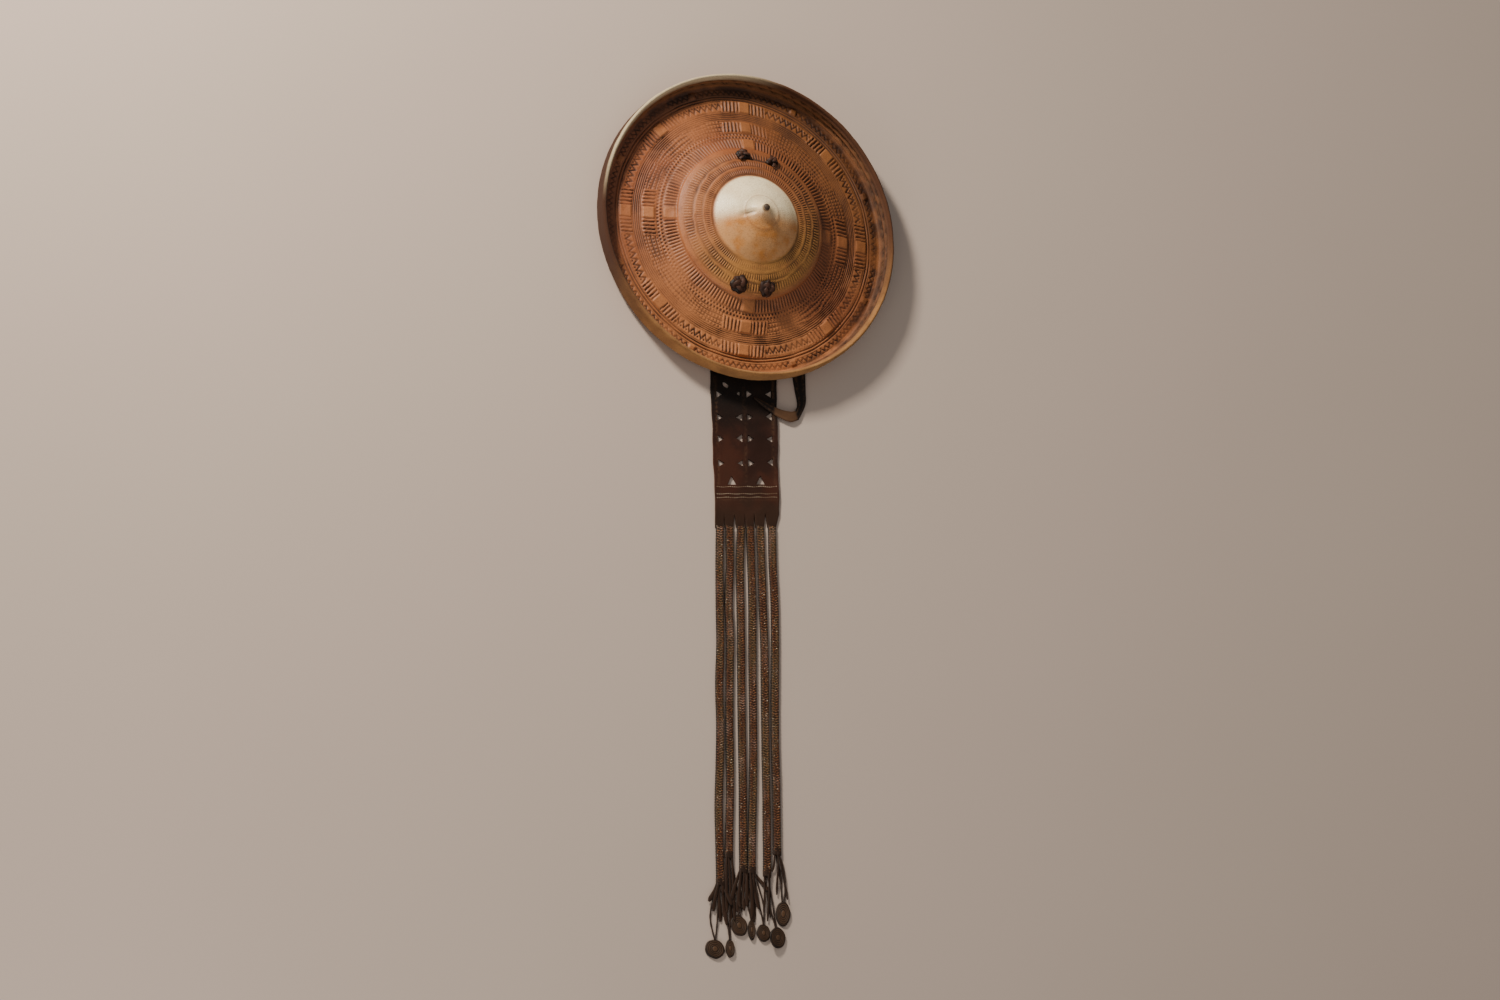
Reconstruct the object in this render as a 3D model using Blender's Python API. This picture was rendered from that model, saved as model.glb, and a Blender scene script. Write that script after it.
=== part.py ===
"""Round moulded hide shield with a hand grip, a broad sling strap and plaited leather pendants.

Metres, +Z up. The shield lies on its back with its face up. The origin is on the shield's axis, in the
flat underside of the hand grip, which lies on the same level as the sling. The sling, its plaits and
their discs are laid out flat towards -Y.
"""

import math

import bmesh
import bpy
from mathutils import Vector

# Fits
TOUCH_GAP = 0.0003
THONG_CLEARANCE = 0.0004

# Hide: one moulded piece, laid out from the boss outwards as rings with a width and a drop
HIDE_RADIUS = 0.270
HIDE_THICKNESS = 0.005
BOSS_RADIUS = HIDE_RADIUS * 78 / 270
BOSS_HEIGHT = 0.053
INNER_DISC_WIDTH = HIDE_RADIUS * 56 / 270
INNER_DISC_DROP = 0.0225
INNER_DISC_BEND = (0.45, 0.33)
STEP_WIDTH = HIDE_RADIUS / 270
STEP_DROP = 0.0045
HATCH_BAND_WIDTH = HIDE_RADIUS * 21 / 270
HATCH_BAND_DROP = 0.0092
DOT_BAND_WIDTH = HIDE_RADIUS * 12 / 270
DOT_BAND_DROP = 0.0046
INNER_PAD_BAND_WIDTH = HIDE_RADIUS * 24 / 270
INNER_PAD_BAND_DROP = 0.0066
LINED_BAND_WIDTH = HIDE_RADIUS * 16 / 270
LINED_BAND_DROP = 0.0028
OUTER_PAD_BAND_WIDTH = HIDE_RADIUS * 21 / 270
OUTER_PAD_BAND_DROP = 0.0030
TWIN_GROOVE_WIDTH = HIDE_RADIUS * 10 / 270
TWIN_GROOVE_DROP = 0.0017
VALLEY_WIDTH = HIDE_RADIUS * 13 / 270
VALLEY_DROP = 0.0021
RIM_WIDTH = HIDE_RADIUS * 18 / 270
RIM_RISE = 0.032
RIM_LIP_THICKNESS = 0.006

# Sections as shares of a ring's own width and height: out, up
KNOB_SHARES = ((0.050, 0.985), (0.078, 0.930), (0.074, 0.870))
BOSS_SHARES = (
    (0.120, 0.780),
    (0.200, 0.665),
    (0.290, 0.580),
    (0.370, 0.535),
    (0.390, 0.538),
    (0.410, 0.510),
    (0.540, 0.430),
    (0.680, 0.320),
    (0.810, 0.200),
    (0.910, 0.095),
    (0.970, 0.025),
)
DOME_TOP_SHARE = 0.580
UNDER_BOSS_SHARES = ((0.540, 0.430), (0.810, 0.200), (0.970, 0.025))
UNDER_DOME_LIFT = 0.6
RIM_SHARES = ((0.40, 0.03), (0.68, 0.14), (0.84, 0.34), (0.93, 0.58), (0.97, 0.78), (1.0, 0.93))
UNDER_RIM_SHARES = ((0.62, 0.0), (1.0, 0.10), (1.0, 0.45), (1.0, 0.93))

# Tooling on the hide's face
GROOVE_DEPTH = 0.0009
GROOVE_WIDTH = 0.0022
RIDGE_RISE = 0.0008
PAD_SIZE = 0.020
PAD_RISE = 0.0014
PAD_SLOPE = 0.0008
REED_PITCH = 0.0068
REED_RISE = 0.0011
REED_START = 0.75
REEDS_A_SIDE = 4
HATCH_PADS = 4
INNER_PADS = 4
OUTER_PADS = 8
DISC_RIDGE_SHARE = 0.33
DISC_PLAIN_SHARE = 0.6

# Facets of the turned hide
FACE_SIDES = 44
KNOB_SIDES = 24
FINE_KNOB_REACH = BOSS_RADIUS / 2
BACK_SIDES = 36
THONG_SIDES = 8
HOLE_SIDES = 12
EYELET_SIDES = 10
SHARP_ANGLE = 35.0

# Hand grip, with thong ends drawn through the hide and knotted on its face
GRIP_LENGTH = 0.172
GRIP_WIDTH = 0.026
GRIP_HEIGHT = 0.016
THONG_RADIUS = 0.0045
THONG_ROOT_SPREAD = 0.0062
THONG_ROOT_INSET = 0.012
THONG_ROOT_LEVEL = 0.45
THONG_MOUTH_SPREAD = 1.4
THONG_RISE_LEVEL = 0.62
THONG_STRAIGHT = 2.4
GRIP_SECTION = ((-0.5, 0.0), (0.5, 0.0), (0.5, 0.45), (0.36, 0.85), (0.0, 1.0), (-0.36, 0.85), (-0.5, 0.45))
GRIP_STATIONS = (
    (-0.5, 0.72),
    (-0.44, 0.92),
    (-0.25, 1.0),
    (0.0, 1.0),
    (0.25, 1.0),
    (0.44, 0.92),
    (0.5, 0.72),
)
KNOT_RING_RADIUS = 0.1185
KNOT_RADIUS = 0.0140
KNOT_HEIGHT = 0.0085
KNOT_STANDOFF = 0.0004
KNOT_SLOPE_SPAN = 0.006
KNOT_PROFILE = ((0.92, 0.0), (1.0, 0.35), (0.78, 0.80), (0.40, 1.0))
UPPER_KNOT_WIDTH = 0.8
LOWER_KNOT_ANGLES = (-102.1, -76.9)
UPPER_KNOT_ANGLES = (98.8, 72.5)

# Straps
STRAP_THICKNESS = 0.003
STRAP_CLEARANCE = 0.0025
STRAP_HEAD_LEVEL = 0.026
STRAP_RAMP = 0.38
STRAP_HOLE_MARGIN = 0.0012

# Broad sling panel, hanging from the rim along its own centre line
PANEL_TUCK = 0.010
PANEL_SIDE_SHIFT = 0.0055
PANEL_SLANT = 0.0297
PANEL_ROW_SLANT = 0.149
PANEL_TOP_WIDTH = 0.121
PANEL_HEM_WIDTH = 0.117
PANEL_HEAD_WIDTH = 0.076
PANEL_HEAD_LENGTH = 0.030
PANEL_HEAD_ROWS = ((0.5, 1.0), (-0.5, 1.0), (-1.0, 1.0), (-1.7, 1.08), (-2.6, 1.25), (-3.4, 1.48))
PANEL_LENGTH = 0.249
TAB_LENGTH = 0.022
TAB_SLIT_WIDTH = 0.0030
CUT_ROWS = (0.033, 0.074, 0.113, 0.156)
CUT_COLUMNS = (-0.045, -0.0105, 0.0105, 0.045)
CUT_POINTS = (1, -1, 1, -1)
CUT_LENGTH = 0.0105
CUT_BASE = 0.0130
PEAK_ROW = 0.187
PEAK_COLUMNS = (-0.0265, 0.0265)
PEAK_BASE = 0.0170
PEAK_HEIGHT = 0.0150
EYELET_PLACE = (-0.0335, 0.0165)
EYELET_RADII = (0.0070, 0.0042)
EYELET_TURN = 40.0

# Narrow carrying strap: its middle line from its hole and up to the rim, then left and right edge points
CARRY_WIDTH = 0.024
CARRY_THICKNESS = 0.0025
CARRY_LEAVES_RIM = (0.1085, -0.243)
CARRY_FROM_HOLE = ((0.0, 0.014), (0.001, -0.020), (0.014, -0.060), (0.033, -0.130))
CARRY_TO_RIM = ((-0.020, 0.120), (-0.006, 0.050), (0.0, 0.0))
CARRY_FOLD = (
    ((0.1010, -0.2700), (0.1215, -0.2720)),
    ((0.1060, -0.2960), (0.1205, -0.2960)),
    ((0.1020, -0.3090), (0.1080, -0.3240)),
)
CARRY_LAP = (
    ((0.0920, -0.3125), (0.0935, -0.3310)),
    ((0.0712, -0.3110), (0.0700, -0.3260)),
    ((0.0471, -0.3030), (0.0465, -0.3150)),
    ((0.0245, -0.2960), (0.0235, -0.2990)),
)

# Plaits
BRAID_WIDTH = 0.0150
BRAID_THICKNESS = 0.0060
BRAID_POINT_SPACING = 0.045
BRAID_SKEW = 0.03
ROUTE_STEPS = 12
BRAID_STARTS = (-0.0518, -0.0341, -0.0128, 0.0039, 0.0225, 0.0447)
BRAID_LENGTHS = (0.636, 0.588, 0.613, 0.615, 0.619, 0.581)
BRAID_WANDER = (
    (0.0, -0.5, 0.0, 1.0, -0.9, 1.0, 0.0, -1.8, -0.4, 1.0),
    (0.0, 0.9, -1.3, 1.4, 0.6, 0.2, 0.9, 1.3, 0.2, -1.0),
    (0.0, -1.9, -0.8, 0.3, 0.7, 1.5, 2.7, 3.7, 3.7, 4.6),
    (0.0, 2.6, 4.5, 4.6, 4.9, 5.8, 6.2, 5.4, 3.7, 3.3),
    (0.0, 2.8, 5.2, 7.9, 9.0, 9.6, 10.6, 11.9, 12.6, 13.0),
    (0.0, 1.4, 4.6, 5.6, 5.6, 5.2, 5.8, 7.6, 8.6, 9.3),
)

# Stamped leather discs: plait, centre from the hem line, half sizes, lean in degrees, bow of the thong
DISC_THICKNESS = 0.0040
DISC_SIDES = 14
DISC_PROFILE = ((0.94, 0.0), (1.0, 0.4), (0.90, 0.86), (0.60, 1.0))
DISCS = (
    (0, (-0.0600, 0.7605), (0.0175, 0.0172), 0.0, -0.006),
    (1, (-0.0320, 0.7555), (0.0080, 0.0165), 0.0, -0.0036),
    (2, (-0.0155, 0.7125), (0.0155, 0.0185), 0.0, 0.004),
    (3, (0.0078, 0.7170), (0.0070, 0.0180), 0.0, -0.002),
    (3, (0.0297, 0.7195), (0.0130, 0.0150), 0.0, 0.003),
    (4, (0.0535, 0.7255), (0.0165, 0.0185), 13.0, -0.003),
    (5, (0.0655, 0.6805), (0.0130, 0.0225), 0.0, 0.005),
)
TAIL_WIDTH = 0.0040
TAIL_THICKNESS = 0.0020
TAIL_STATIONS = 5
TAIL_SPREAD = 0.8


def clear_scene():
    """Remove every object, so that the file builds the same model each time."""
    for item in list(bpy.data.objects):
        bpy.data.objects.remove(item, do_unlink=True)


def leather(name, color, roughness):
    """A leather material with the part's own colour and gloss."""
    material = bpy.data.materials.new(name)
    material.use_nodes = True
    shader = material.node_tree.nodes["Principled BSDF"]
    shader.inputs["Base Color"].default_value = (*color, 1.0)
    shader.inputs["Roughness"].default_value = roughness
    shader.inputs["Metallic"].default_value = 0.0
    return material


def add_object(name, bm, material):
    """Turn a bmesh into a linked object with outward faces."""
    bmesh.ops.recalc_face_normals(bm, faces=bm.faces)
    mesh = bpy.data.meshes.new(name)
    bm.to_mesh(mesh)
    bm.free()
    item = bpy.data.objects.new(name, mesh)
    bpy.context.scene.collection.objects.link(item)
    mesh.materials.append(material)
    mesh.shade_smooth()
    mesh.set_sharp_from_angle(angle=math.radians(SHARP_ANGLE))
    return item


def add_boolean(item, tool, operation):
    """Cut or join with another object, which is then only a guide."""
    tool.hide_render = True
    tool.display_type = "WIRE"
    modifier = item.modifiers.new(operation.title(), "BOOLEAN")
    modifier.operation = operation
    modifier.solver = "EXACT"
    modifier.object = tool


def cap(bm, verts):
    """Close a ring of vertices with one face."""
    bm.faces.new(verts)


def bridge(bm, first, second):
    """Join two rings with the same number of vertices by quads."""
    count = len(first)
    for index in range(count):
        after = (index + 1) % count
        bm.faces.new((first[index], first[after], second[after], second[index]))


def loft(bm, rings):
    """A closed skin through rings of points, with both ends capped."""
    skins = [[bm.verts.new(point) for point in ring] for ring in rings]
    for first, second in zip(skins, skins[1:]):
        bridge(bm, first, second)
    cap(bm, skins[0])
    cap(bm, skins[-1])


def smooth_route(points, spacing):
    """Points at an even spacing on the smooth curve through hand-placed points."""
    ends = [2 * points[0] - points[1], *points, 2 * points[-1] - points[-2]]
    dense = []
    for before, start, stop, after in zip(ends, ends[1:], ends[2:], ends[3:]):
        for step in range(ROUTE_STEPS):
            t = step / ROUTE_STEPS
            dense.append(
                0.5
                * (
                    2 * start
                    + (stop - before) * t
                    + (2 * before - 5 * start + 4 * stop - after) * t**2
                    + (3 * start - before - 3 * stop + after) * t**3
                )
            )
    dense.append(points[-1])
    lengths = [0.0]
    for start, stop in zip(dense, dense[1:]):
        lengths.append(lengths[-1] + (stop - start).length)
    pieces = max(2, round(lengths[-1] / spacing))
    route = []
    index = 0
    for piece in range(pieces + 1):
        target = lengths[-1] * piece / pieces
        while index < len(lengths) - 2 and lengths[index + 1] < target:
            index += 1
        share = (target - lengths[index]) / (lengths[index + 1] - lengths[index])
        route.append(dense[index].lerp(dense[index + 1], min(1.0, share)))
    return route


def bands():
    """Each ring of the face as name, inner radius, inner height, outer radius, outer height."""
    table = (
        ("inner_disc", INNER_DISC_WIDTH, INNER_DISC_DROP),
        ("step", STEP_WIDTH, STEP_DROP),
        ("hatch", HATCH_BAND_WIDTH, HATCH_BAND_DROP),
        ("dots", DOT_BAND_WIDTH, DOT_BAND_DROP),
        ("inner_pads", INNER_PAD_BAND_WIDTH, INNER_PAD_BAND_DROP),
        ("lined", LINED_BAND_WIDTH, LINED_BAND_DROP),
        ("outer_pads", OUTER_PAD_BAND_WIDTH, OUTER_PAD_BAND_DROP),
        ("twin_groove", TWIN_GROOVE_WIDTH, TWIN_GROOVE_DROP),
        ("valley", VALLEY_WIDTH, VALLEY_DROP),
    )
    radius, height = BOSS_RADIUS, 0.0
    result = {}
    for name, width, drop in table:
        result[name] = (radius, height, radius + width, height - drop)
        radius += width
        height -= drop
    return result


BANDS = bands()
VALLEY_RADIUS = BANDS["valley"][2]
VALLEY_HEIGHT = BANDS["valley"][3]


def face_line(rim_shares):
    """The plain face without tooling, as points from the boss foot to the rim's inner lip."""
    radius, height = BANDS["inner_disc"][0], BANDS["inner_disc"][1]
    bend_out, bend_down = INNER_DISC_BEND
    line = [(radius, height)]
    line.append((radius + INNER_DISC_WIDTH * bend_out, height - INNER_DISC_DROP * bend_down))
    for name in ("inner_disc", "hatch", "dots", "inner_pads", "lined", "outer_pads"):
        line.append(BANDS[name][2:])
    line.append(BANDS["twin_groove"][2:])
    line.append((VALLEY_RADIUS, VALLEY_HEIGHT))
    wall = RIM_WIDTH - RIM_LIP_THICKNESS
    for out, up in rim_shares:
        line.append((VALLEY_RADIUS + wall * out, VALLEY_HEIGHT + RIM_RISE * up))
    return line


def height_on(line, radius):
    """Height of a section line at a radius, running on level past its ends."""
    if radius <= line[0][0]:
        return line[0][1]
    for (r0, z0), (r1, z1) in zip(line, line[1:]):
        if r0 <= radius <= r1:
            return z0 + (z1 - z0) * (radius - r0) / max(r1 - r0, 1e-9)
    return line[-1][1]


def whole_face_line():
    """The face from the axis out, with the boss."""
    boss = [(BOSS_RADIUS * out, BOSS_HEIGHT * up) for out, up in BOSS_SHARES]
    return [(0.0, BOSS_HEIGHT * DOME_TOP_SHARE), *boss, *face_line(RIM_SHARES)]


def back_line():
    """The plain back: the face moved in by the hide's thickness, with a rounded dome under the boss."""
    boss = [(BOSS_RADIUS * out, BOSS_HEIGHT * up) for out, up in UNDER_BOSS_SHARES]
    kept = [*boss, *face_line(UNDER_RIM_SHARES)[1:]]
    back = []
    for index, (radius, height) in enumerate(kept):
        before = kept[max(0, index - 1)]
        after = kept[min(len(kept) - 1, index + 1)]
        run, rise = after[0] - before[0], after[1] - before[1]
        length = math.hypot(run, rise)
        thick = HIDE_THICKNESS if radius < VALLEY_RADIUS else RIM_LIP_THICKNESS
        back.append((radius + rise / length * thick, height - run / length * thick))
    crown = back[0][1] + (kept[0][1] - kept[1][1]) * UNDER_DOME_LIFT
    return [(0.0, crown), *back]


FACE_LINE = whole_face_line()
BACK_LINE = back_line()
FOOT_LEVEL = STRAP_THICKNESS + TOUCH_GAP - min(height for _, height in BACK_LINE)


def face_level(radius):
    """World height of the plain face at a radius."""
    return FOOT_LEVEL + height_on(FACE_LINE, radius)


def back_level(radius):
    """World height of the back at a radius."""
    return FOOT_LEVEL + height_on(BACK_LINE, radius)


def even_angles(sides):
    """Angles at equal steps round a ring."""
    return [2 * math.pi * side / sides for side in range(sides)]


def plain_ring(radius, height, sides):
    """A level ring as (radius, [(angle, height)])."""
    return radius, [(angle, height) for angle in even_angles(sides)]


def pad_marks(radius, pads, reeds):
    """Angles and rises round a band: square pads, with reeds beside each one."""
    marks = []
    half_pad = PAD_SIZE / 2 / radius
    slope = PAD_SLOPE / radius
    pitch = REED_PITCH / radius
    for pad in range(pads):
        centre = 2 * math.pi * pad / pads
        for side in (-1, 1):
            marks.append((centre + side * half_pad, 0.0))
            marks.append((centre + side * (half_pad - slope), PAD_RISE))
            for reed in range(reeds):
                ridge = half_pad + pitch * (reed + REED_START)
                marks.append((centre + side * ridge, REED_RISE))
                marks.append((centre + side * (ridge + pitch / 2), 0.0))
    reach = half_pad + pitch * (reeds + 1 - REED_START) + slope
    step = 2 * math.pi / pads
    for angle in even_angles(FACE_SIDES):
        if abs((angle + step / 2) % step - step / 2) > reach:
            marks.append((angle, 0.0))
    return sorted((angle % (2 * math.pi), rise) for angle, rise in marks)


def pad_band(name, pads, reeds):
    """Rings that carry a band with pads, sloping up at its two edges."""
    r0, z0, r1, z1 = BANDS[name]
    marks = pad_marks((r0 + r1) / 2, pads, reeds)
    rings = []
    for radius in (r0 + GROOVE_WIDTH, r1 - GROOVE_WIDTH):
        height = z0 + (z1 - z0) * (radius - r0) / (r1 - r0)
        rings.append((radius, [(angle, height + rise) for angle, rise in marks]))
    rings.append(plain_ring(r1, z1, FACE_SIDES))
    return rings


def groove_rings(radius, depth):
    """Three rings that press a line into the face, or raise one where the depth is negative."""
    half = GROOVE_WIDTH / 2
    rings = []
    for offset, share in ((-half, 0), (0.0, 1), (half, 0)):
        height = height_on(FACE_LINE, radius + offset) - depth * share
        rings.append(plain_ring(radius + offset, height, FACE_SIDES))
    return rings


def face_rings():
    """Every ring of the tooled face, from the knob out to the rim's lip."""
    rings = []
    for out, up in KNOB_SHARES + BOSS_SHARES:
        sides = KNOB_SIDES if BOSS_RADIUS * out < FINE_KNOB_REACH else FACE_SIDES
        rings.append(plain_ring(BOSS_RADIUS * out, BOSS_HEIGHT * up, sides))
    disc_r0, disc_z0, disc_r1, disc_z1 = BANDS["inner_disc"]
    rings.append(plain_ring(disc_r0 + GROOVE_WIDTH / 2, disc_z0 - GROOVE_DEPTH, FACE_SIDES))
    rings.append(plain_ring(disc_r0 + GROOVE_WIDTH * 1.5, height_on(FACE_LINE, disc_r0), FACE_SIDES))
    rings += groove_rings(disc_r0 + INNER_DISC_WIDTH * DISC_RIDGE_SHARE, -RIDGE_RISE)
    plain = disc_r0 + INNER_DISC_WIDTH * DISC_PLAIN_SHARE
    rings.append(plain_ring(plain, height_on(FACE_LINE, plain), FACE_SIDES))
    rings.append(plain_ring(disc_r1, disc_z1, FACE_SIDES))
    rings.append(plain_ring(*BANDS["step"][2:], FACE_SIDES))
    rings += pad_band("hatch", HATCH_PADS, 0)
    rings += groove_rings((BANDS["dots"][0] + BANDS["dots"][2]) / 2, GROOVE_DEPTH)
    rings.append(plain_ring(*BANDS["dots"][2:], FACE_SIDES))
    rings += pad_band("inner_pads", INNER_PADS, REEDS_A_SIDE)
    rings += groove_rings((BANDS["lined"][0] + BANDS["lined"][2]) / 2, -RIDGE_RISE)
    rings.append(plain_ring(*BANDS["lined"][2:], FACE_SIDES))
    rings += pad_band("outer_pads", OUTER_PADS, REEDS_A_SIDE)
    rings += groove_rings((BANDS["twin_groove"][0] + BANDS["twin_groove"][2]) / 2, GROOVE_DEPTH)
    rings.append(plain_ring(VALLEY_RADIUS, VALLEY_HEIGHT, FACE_SIDES))
    wall = RIM_WIDTH - RIM_LIP_THICKNESS
    for index, (out, up) in enumerate(RIM_SHARES):
        lift = RIDGE_RISE if index % 2 else 0.0
        radius = VALLEY_RADIUS + wall * out - lift
        rings.append(plain_ring(radius, VALLEY_HEIGHT + RIM_RISE * up, FACE_SIDES))
    crown = VALLEY_RADIUS + wall + RIM_LIP_THICKNESS / 2
    rings.append(plain_ring(crown, VALLEY_HEIGHT + RIM_RISE, FACE_SIDES))
    return rings


def zip_rings(bm, first, second):
    """Join two rings of (angle, vertex) that may have different counts."""
    if len(first) == len(second):
        bridge(bm, [vert for _, vert in first], [vert for _, vert in second])
        return
    turn = 2 * math.pi
    near, far = 0, 0
    while near < len(first) or far < len(second):
        next_near = first[(near + 1) % len(first)][0] + turn * ((near + 1) // len(first))
        next_far = second[(far + 1) % len(second)][0] + turn * ((far + 1) // len(second))
        here = first[near % len(first)][1]
        there = second[far % len(second)][1]
        if far >= len(second) or (near < len(first) and next_near <= next_far):
            bm.faces.new((here, first[(near + 1) % len(first)][1], there))
            near += 1
        else:
            bm.faces.new((here, second[(far + 1) % len(second)][1], there))
            far += 1


def add_ring(bm, ring):
    """Make a ring's vertices, standing on the shield's foot level."""
    radius, marks = ring
    verts = []
    for angle, height in marks:
        place = (radius * math.cos(angle), radius * math.sin(angle), FOOT_LEVEL + height)
        verts.append((angle, bm.verts.new(place)))
    return verts


def make_hide(material, holes):
    """The hide: tooled face, upturned rim and plain back as one closed skin, pierced for the thongs."""
    bm = bmesh.new()
    rings = [add_ring(bm, ring) for ring in face_rings()]
    back = [plain_ring(radius, height, BACK_SIDES) for radius, height in reversed(BACK_LINE[1:])]
    rings += [add_ring(bm, ring) for ring in back]
    for first, second in zip(rings, rings[1:]):
        zip_rings(bm, first, second)
    tip = bm.verts.new((0, 0, FOOT_LEVEL + BOSS_HEIGHT))
    crown = bm.verts.new((0, 0, FOOT_LEVEL + BACK_LINE[0][1]))
    for ring, pole in ((rings[0], tip), (rings[-1], crown)):
        verts = [vert for _, vert in ring]
        for index, vert in enumerate(verts):
            bm.faces.new((vert, verts[(index + 1) % len(verts)], pole))
    hide = add_object("shield_hide", bm, material)
    for number, (x, y) in enumerate(holes, start=1):
        cutter = upright_cutter(f"thong_hole_{number}", (x, y), THONG_RADIUS + THONG_CLEARANCE, material)
        add_boolean(hide, cutter, "DIFFERENCE")
    return hide


def upright_cutter(name, place, radius, material):
    """A round guide that runs up past the hide and down past the straps."""
    bm = bmesh.new()
    top = FOOT_LEVEL + BOSS_HEIGHT
    rings = []
    for level in (STRAP_THICKNESS, top):
        rings.append(
            [
                Vector((place[0] + radius * math.cos(angle), place[1] + radius * math.sin(angle), level))
                for angle in even_angles(HOLE_SIDES)
            ]
        )
    loft(bm, rings)
    return add_object(name, bm, material)


def knot_places():
    """Where the four thong ends come through the hide."""
    places = []
    for degrees in (*LOWER_KNOT_ANGLES, *UPPER_KNOT_ANGLES):
        angle = math.radians(degrees)
        places.append((KNOT_RING_RADIUS * math.cos(angle), KNOT_RING_RADIUS * math.sin(angle)))
    return places


def grip_bar(material):
    """The grip's bar: flat below, rounded above, drawn in at its ends."""
    rings = [
        [
            Vector((out * GRIP_WIDTH * fullness, along * GRIP_LENGTH, up * GRIP_HEIGHT * fullness))
            for out, up in GRIP_SECTION
        ]
        for along, fullness in GRIP_STATIONS
    ]
    bm = bmesh.new()
    loft(bm, rings)
    return add_object("hand_grip", bm, material)


def grip_thong(number, place, width_share, material):
    """One thong end: out of the bar, up through the hide, and spread into a flat knot on its face."""
    x, y = place
    end = math.copysign(1.0, y)
    side = -1.0 if number in (0, 2) else 1.0
    low = GRIP_HEIGHT * THONG_ROOT_LEVEL
    root_y = end * (GRIP_LENGTH / 2 - THONG_ROOT_INSET)
    root = Vector((side * THONG_ROOT_SPREAD, root_y, low))
    mouth_x = side * THONG_ROOT_SPREAD * THONG_MOUTH_SPREAD
    mouth = Vector((mouth_x, end * (GRIP_LENGTH / 2 + THONG_RADIUS), low))
    rise = Vector((x, y, STRAP_HEAD_LEVEL * THONG_RISE_LEVEL))
    radius_here = math.hypot(x, y)
    outer, inner = face_level(radius_here + KNOT_SLOPE_SPAN), face_level(radius_here - KNOT_SLOPE_SPAN)
    slope = (outer - inner) / (2 * KNOT_SLOPE_SPAN)
    outward = Vector((x, y, 0.0)).normalized()
    across = Vector((-outward.y, outward.x, 0.0))
    along = (outward + Vector((0, 0, slope))).normalized()
    normal = along.cross(across)
    if normal.z < 0:
        normal.negate()
    seat = Vector((x, y, face_level(radius_here) + (TOUCH_GAP + KNOT_STANDOFF) / normal.z))
    rings = []
    for centre, forward in (
        (root, mouth - root),
        (mouth, rise - root),
        (rise, rise - mouth + Vector((0, 0, STRAP_HEAD_LEVEL))),
        (seat - Vector((0, 0, HIDE_THICKNESS * THONG_STRAIGHT)), Vector((0, 0, 1))),
    ):
        rings.append(round_ring(centre, forward, THONG_RADIUS, THONG_SIDES))
    rings.append(
        [
            Vector((point.x, point.y, seat.z + (point - seat).dot(outward) * slope))
            for point in round_ring(seat, Vector((0, 0, 1)), THONG_RADIUS, THONG_SIDES)
        ]
    )
    for spread, lift in KNOT_PROFILE:
        ring = []
        for angle in even_angles(THONG_SIDES):
            wide = KNOT_RADIUS * spread
            offset = across * (wide * width_share * math.sin(angle)) + along * (wide * math.cos(angle))
            ring.append(seat + offset + normal * (KNOT_HEIGHT * lift))
        rings.append(ring)
    bm = bmesh.new()
    loft_turned(bm, rings)
    return add_object(f"grip_thong_{number + 1}", bm, material)


def round_ring(centre, forward, radius, sides):
    """Points of a circle square to a direction, all turning the same way."""
    forward = forward.normalized()
    upright = abs(forward.z) > 0.9
    guide = Vector((centre.x, centre.y, 0.0)) if upright else Vector((0.0, 0.0, 1.0))
    out = (guide - forward * guide.dot(forward)).normalized()
    side = forward.cross(out)
    return [
        centre + (out * math.cos(angle) + side * math.sin(angle)) * radius for angle in even_angles(sides)
    ]


def loft_turned(bm, rings):
    """A closed skin through rings, each turned to start nearest the one before."""
    turned = [rings[0]]
    for ring in rings[1:]:
        count = len(ring)
        best = min(
            range(count),
            key=lambda shift: sum((ring[(shift + k) % count] - turned[-1][k]).length for k in range(count)),
        )
        turned.append(ring[best:] + ring[:best])
    loft(bm, turned)


def make_grip(material, holes):
    """The bar joined with its four thong ends, one piece of leather."""
    grip = grip_bar(material)
    for number, place in enumerate(holes):
        share = 1.0 if place[1] < 0 else UPPER_KNOT_WIDTH
        add_boolean(grip, grip_thong(number, place, share, material), "UNION")
    return grip


def ribbon(name, stations, thickness, material):
    """A flat strap through stations of left and right edge points, given at its underside."""
    rings = []
    up = Vector((0, 0, thickness))
    for left, right in stations:
        rings.append([left, right, right + up, left + up])
    bm = bmesh.new()
    loft(bm, rings)
    return add_object(name, bm, material)


def strap_level(reach, run, thickness):
    """Underside height of a strap behind the hide, at a reach from the axis and a run from its head."""
    room = back_level(reach) - STRAP_CLEARANCE - thickness
    ramp = STRAP_HEAD_LEVEL - max(0.0, run) * STRAP_RAMP
    return max(0.0, min(ramp, room))


def panel_point(across, along):
    """A point of the panel in plan, from its centre line and its distance below the rim."""
    foot = -(HIDE_RADIUS - PANEL_TUCK)
    x = PANEL_SIDE_SHIFT + along * PANEL_SLANT + across
    y = foot - along + across * PANEL_ROW_SLANT
    return Vector((x, y, 0.0))


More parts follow.
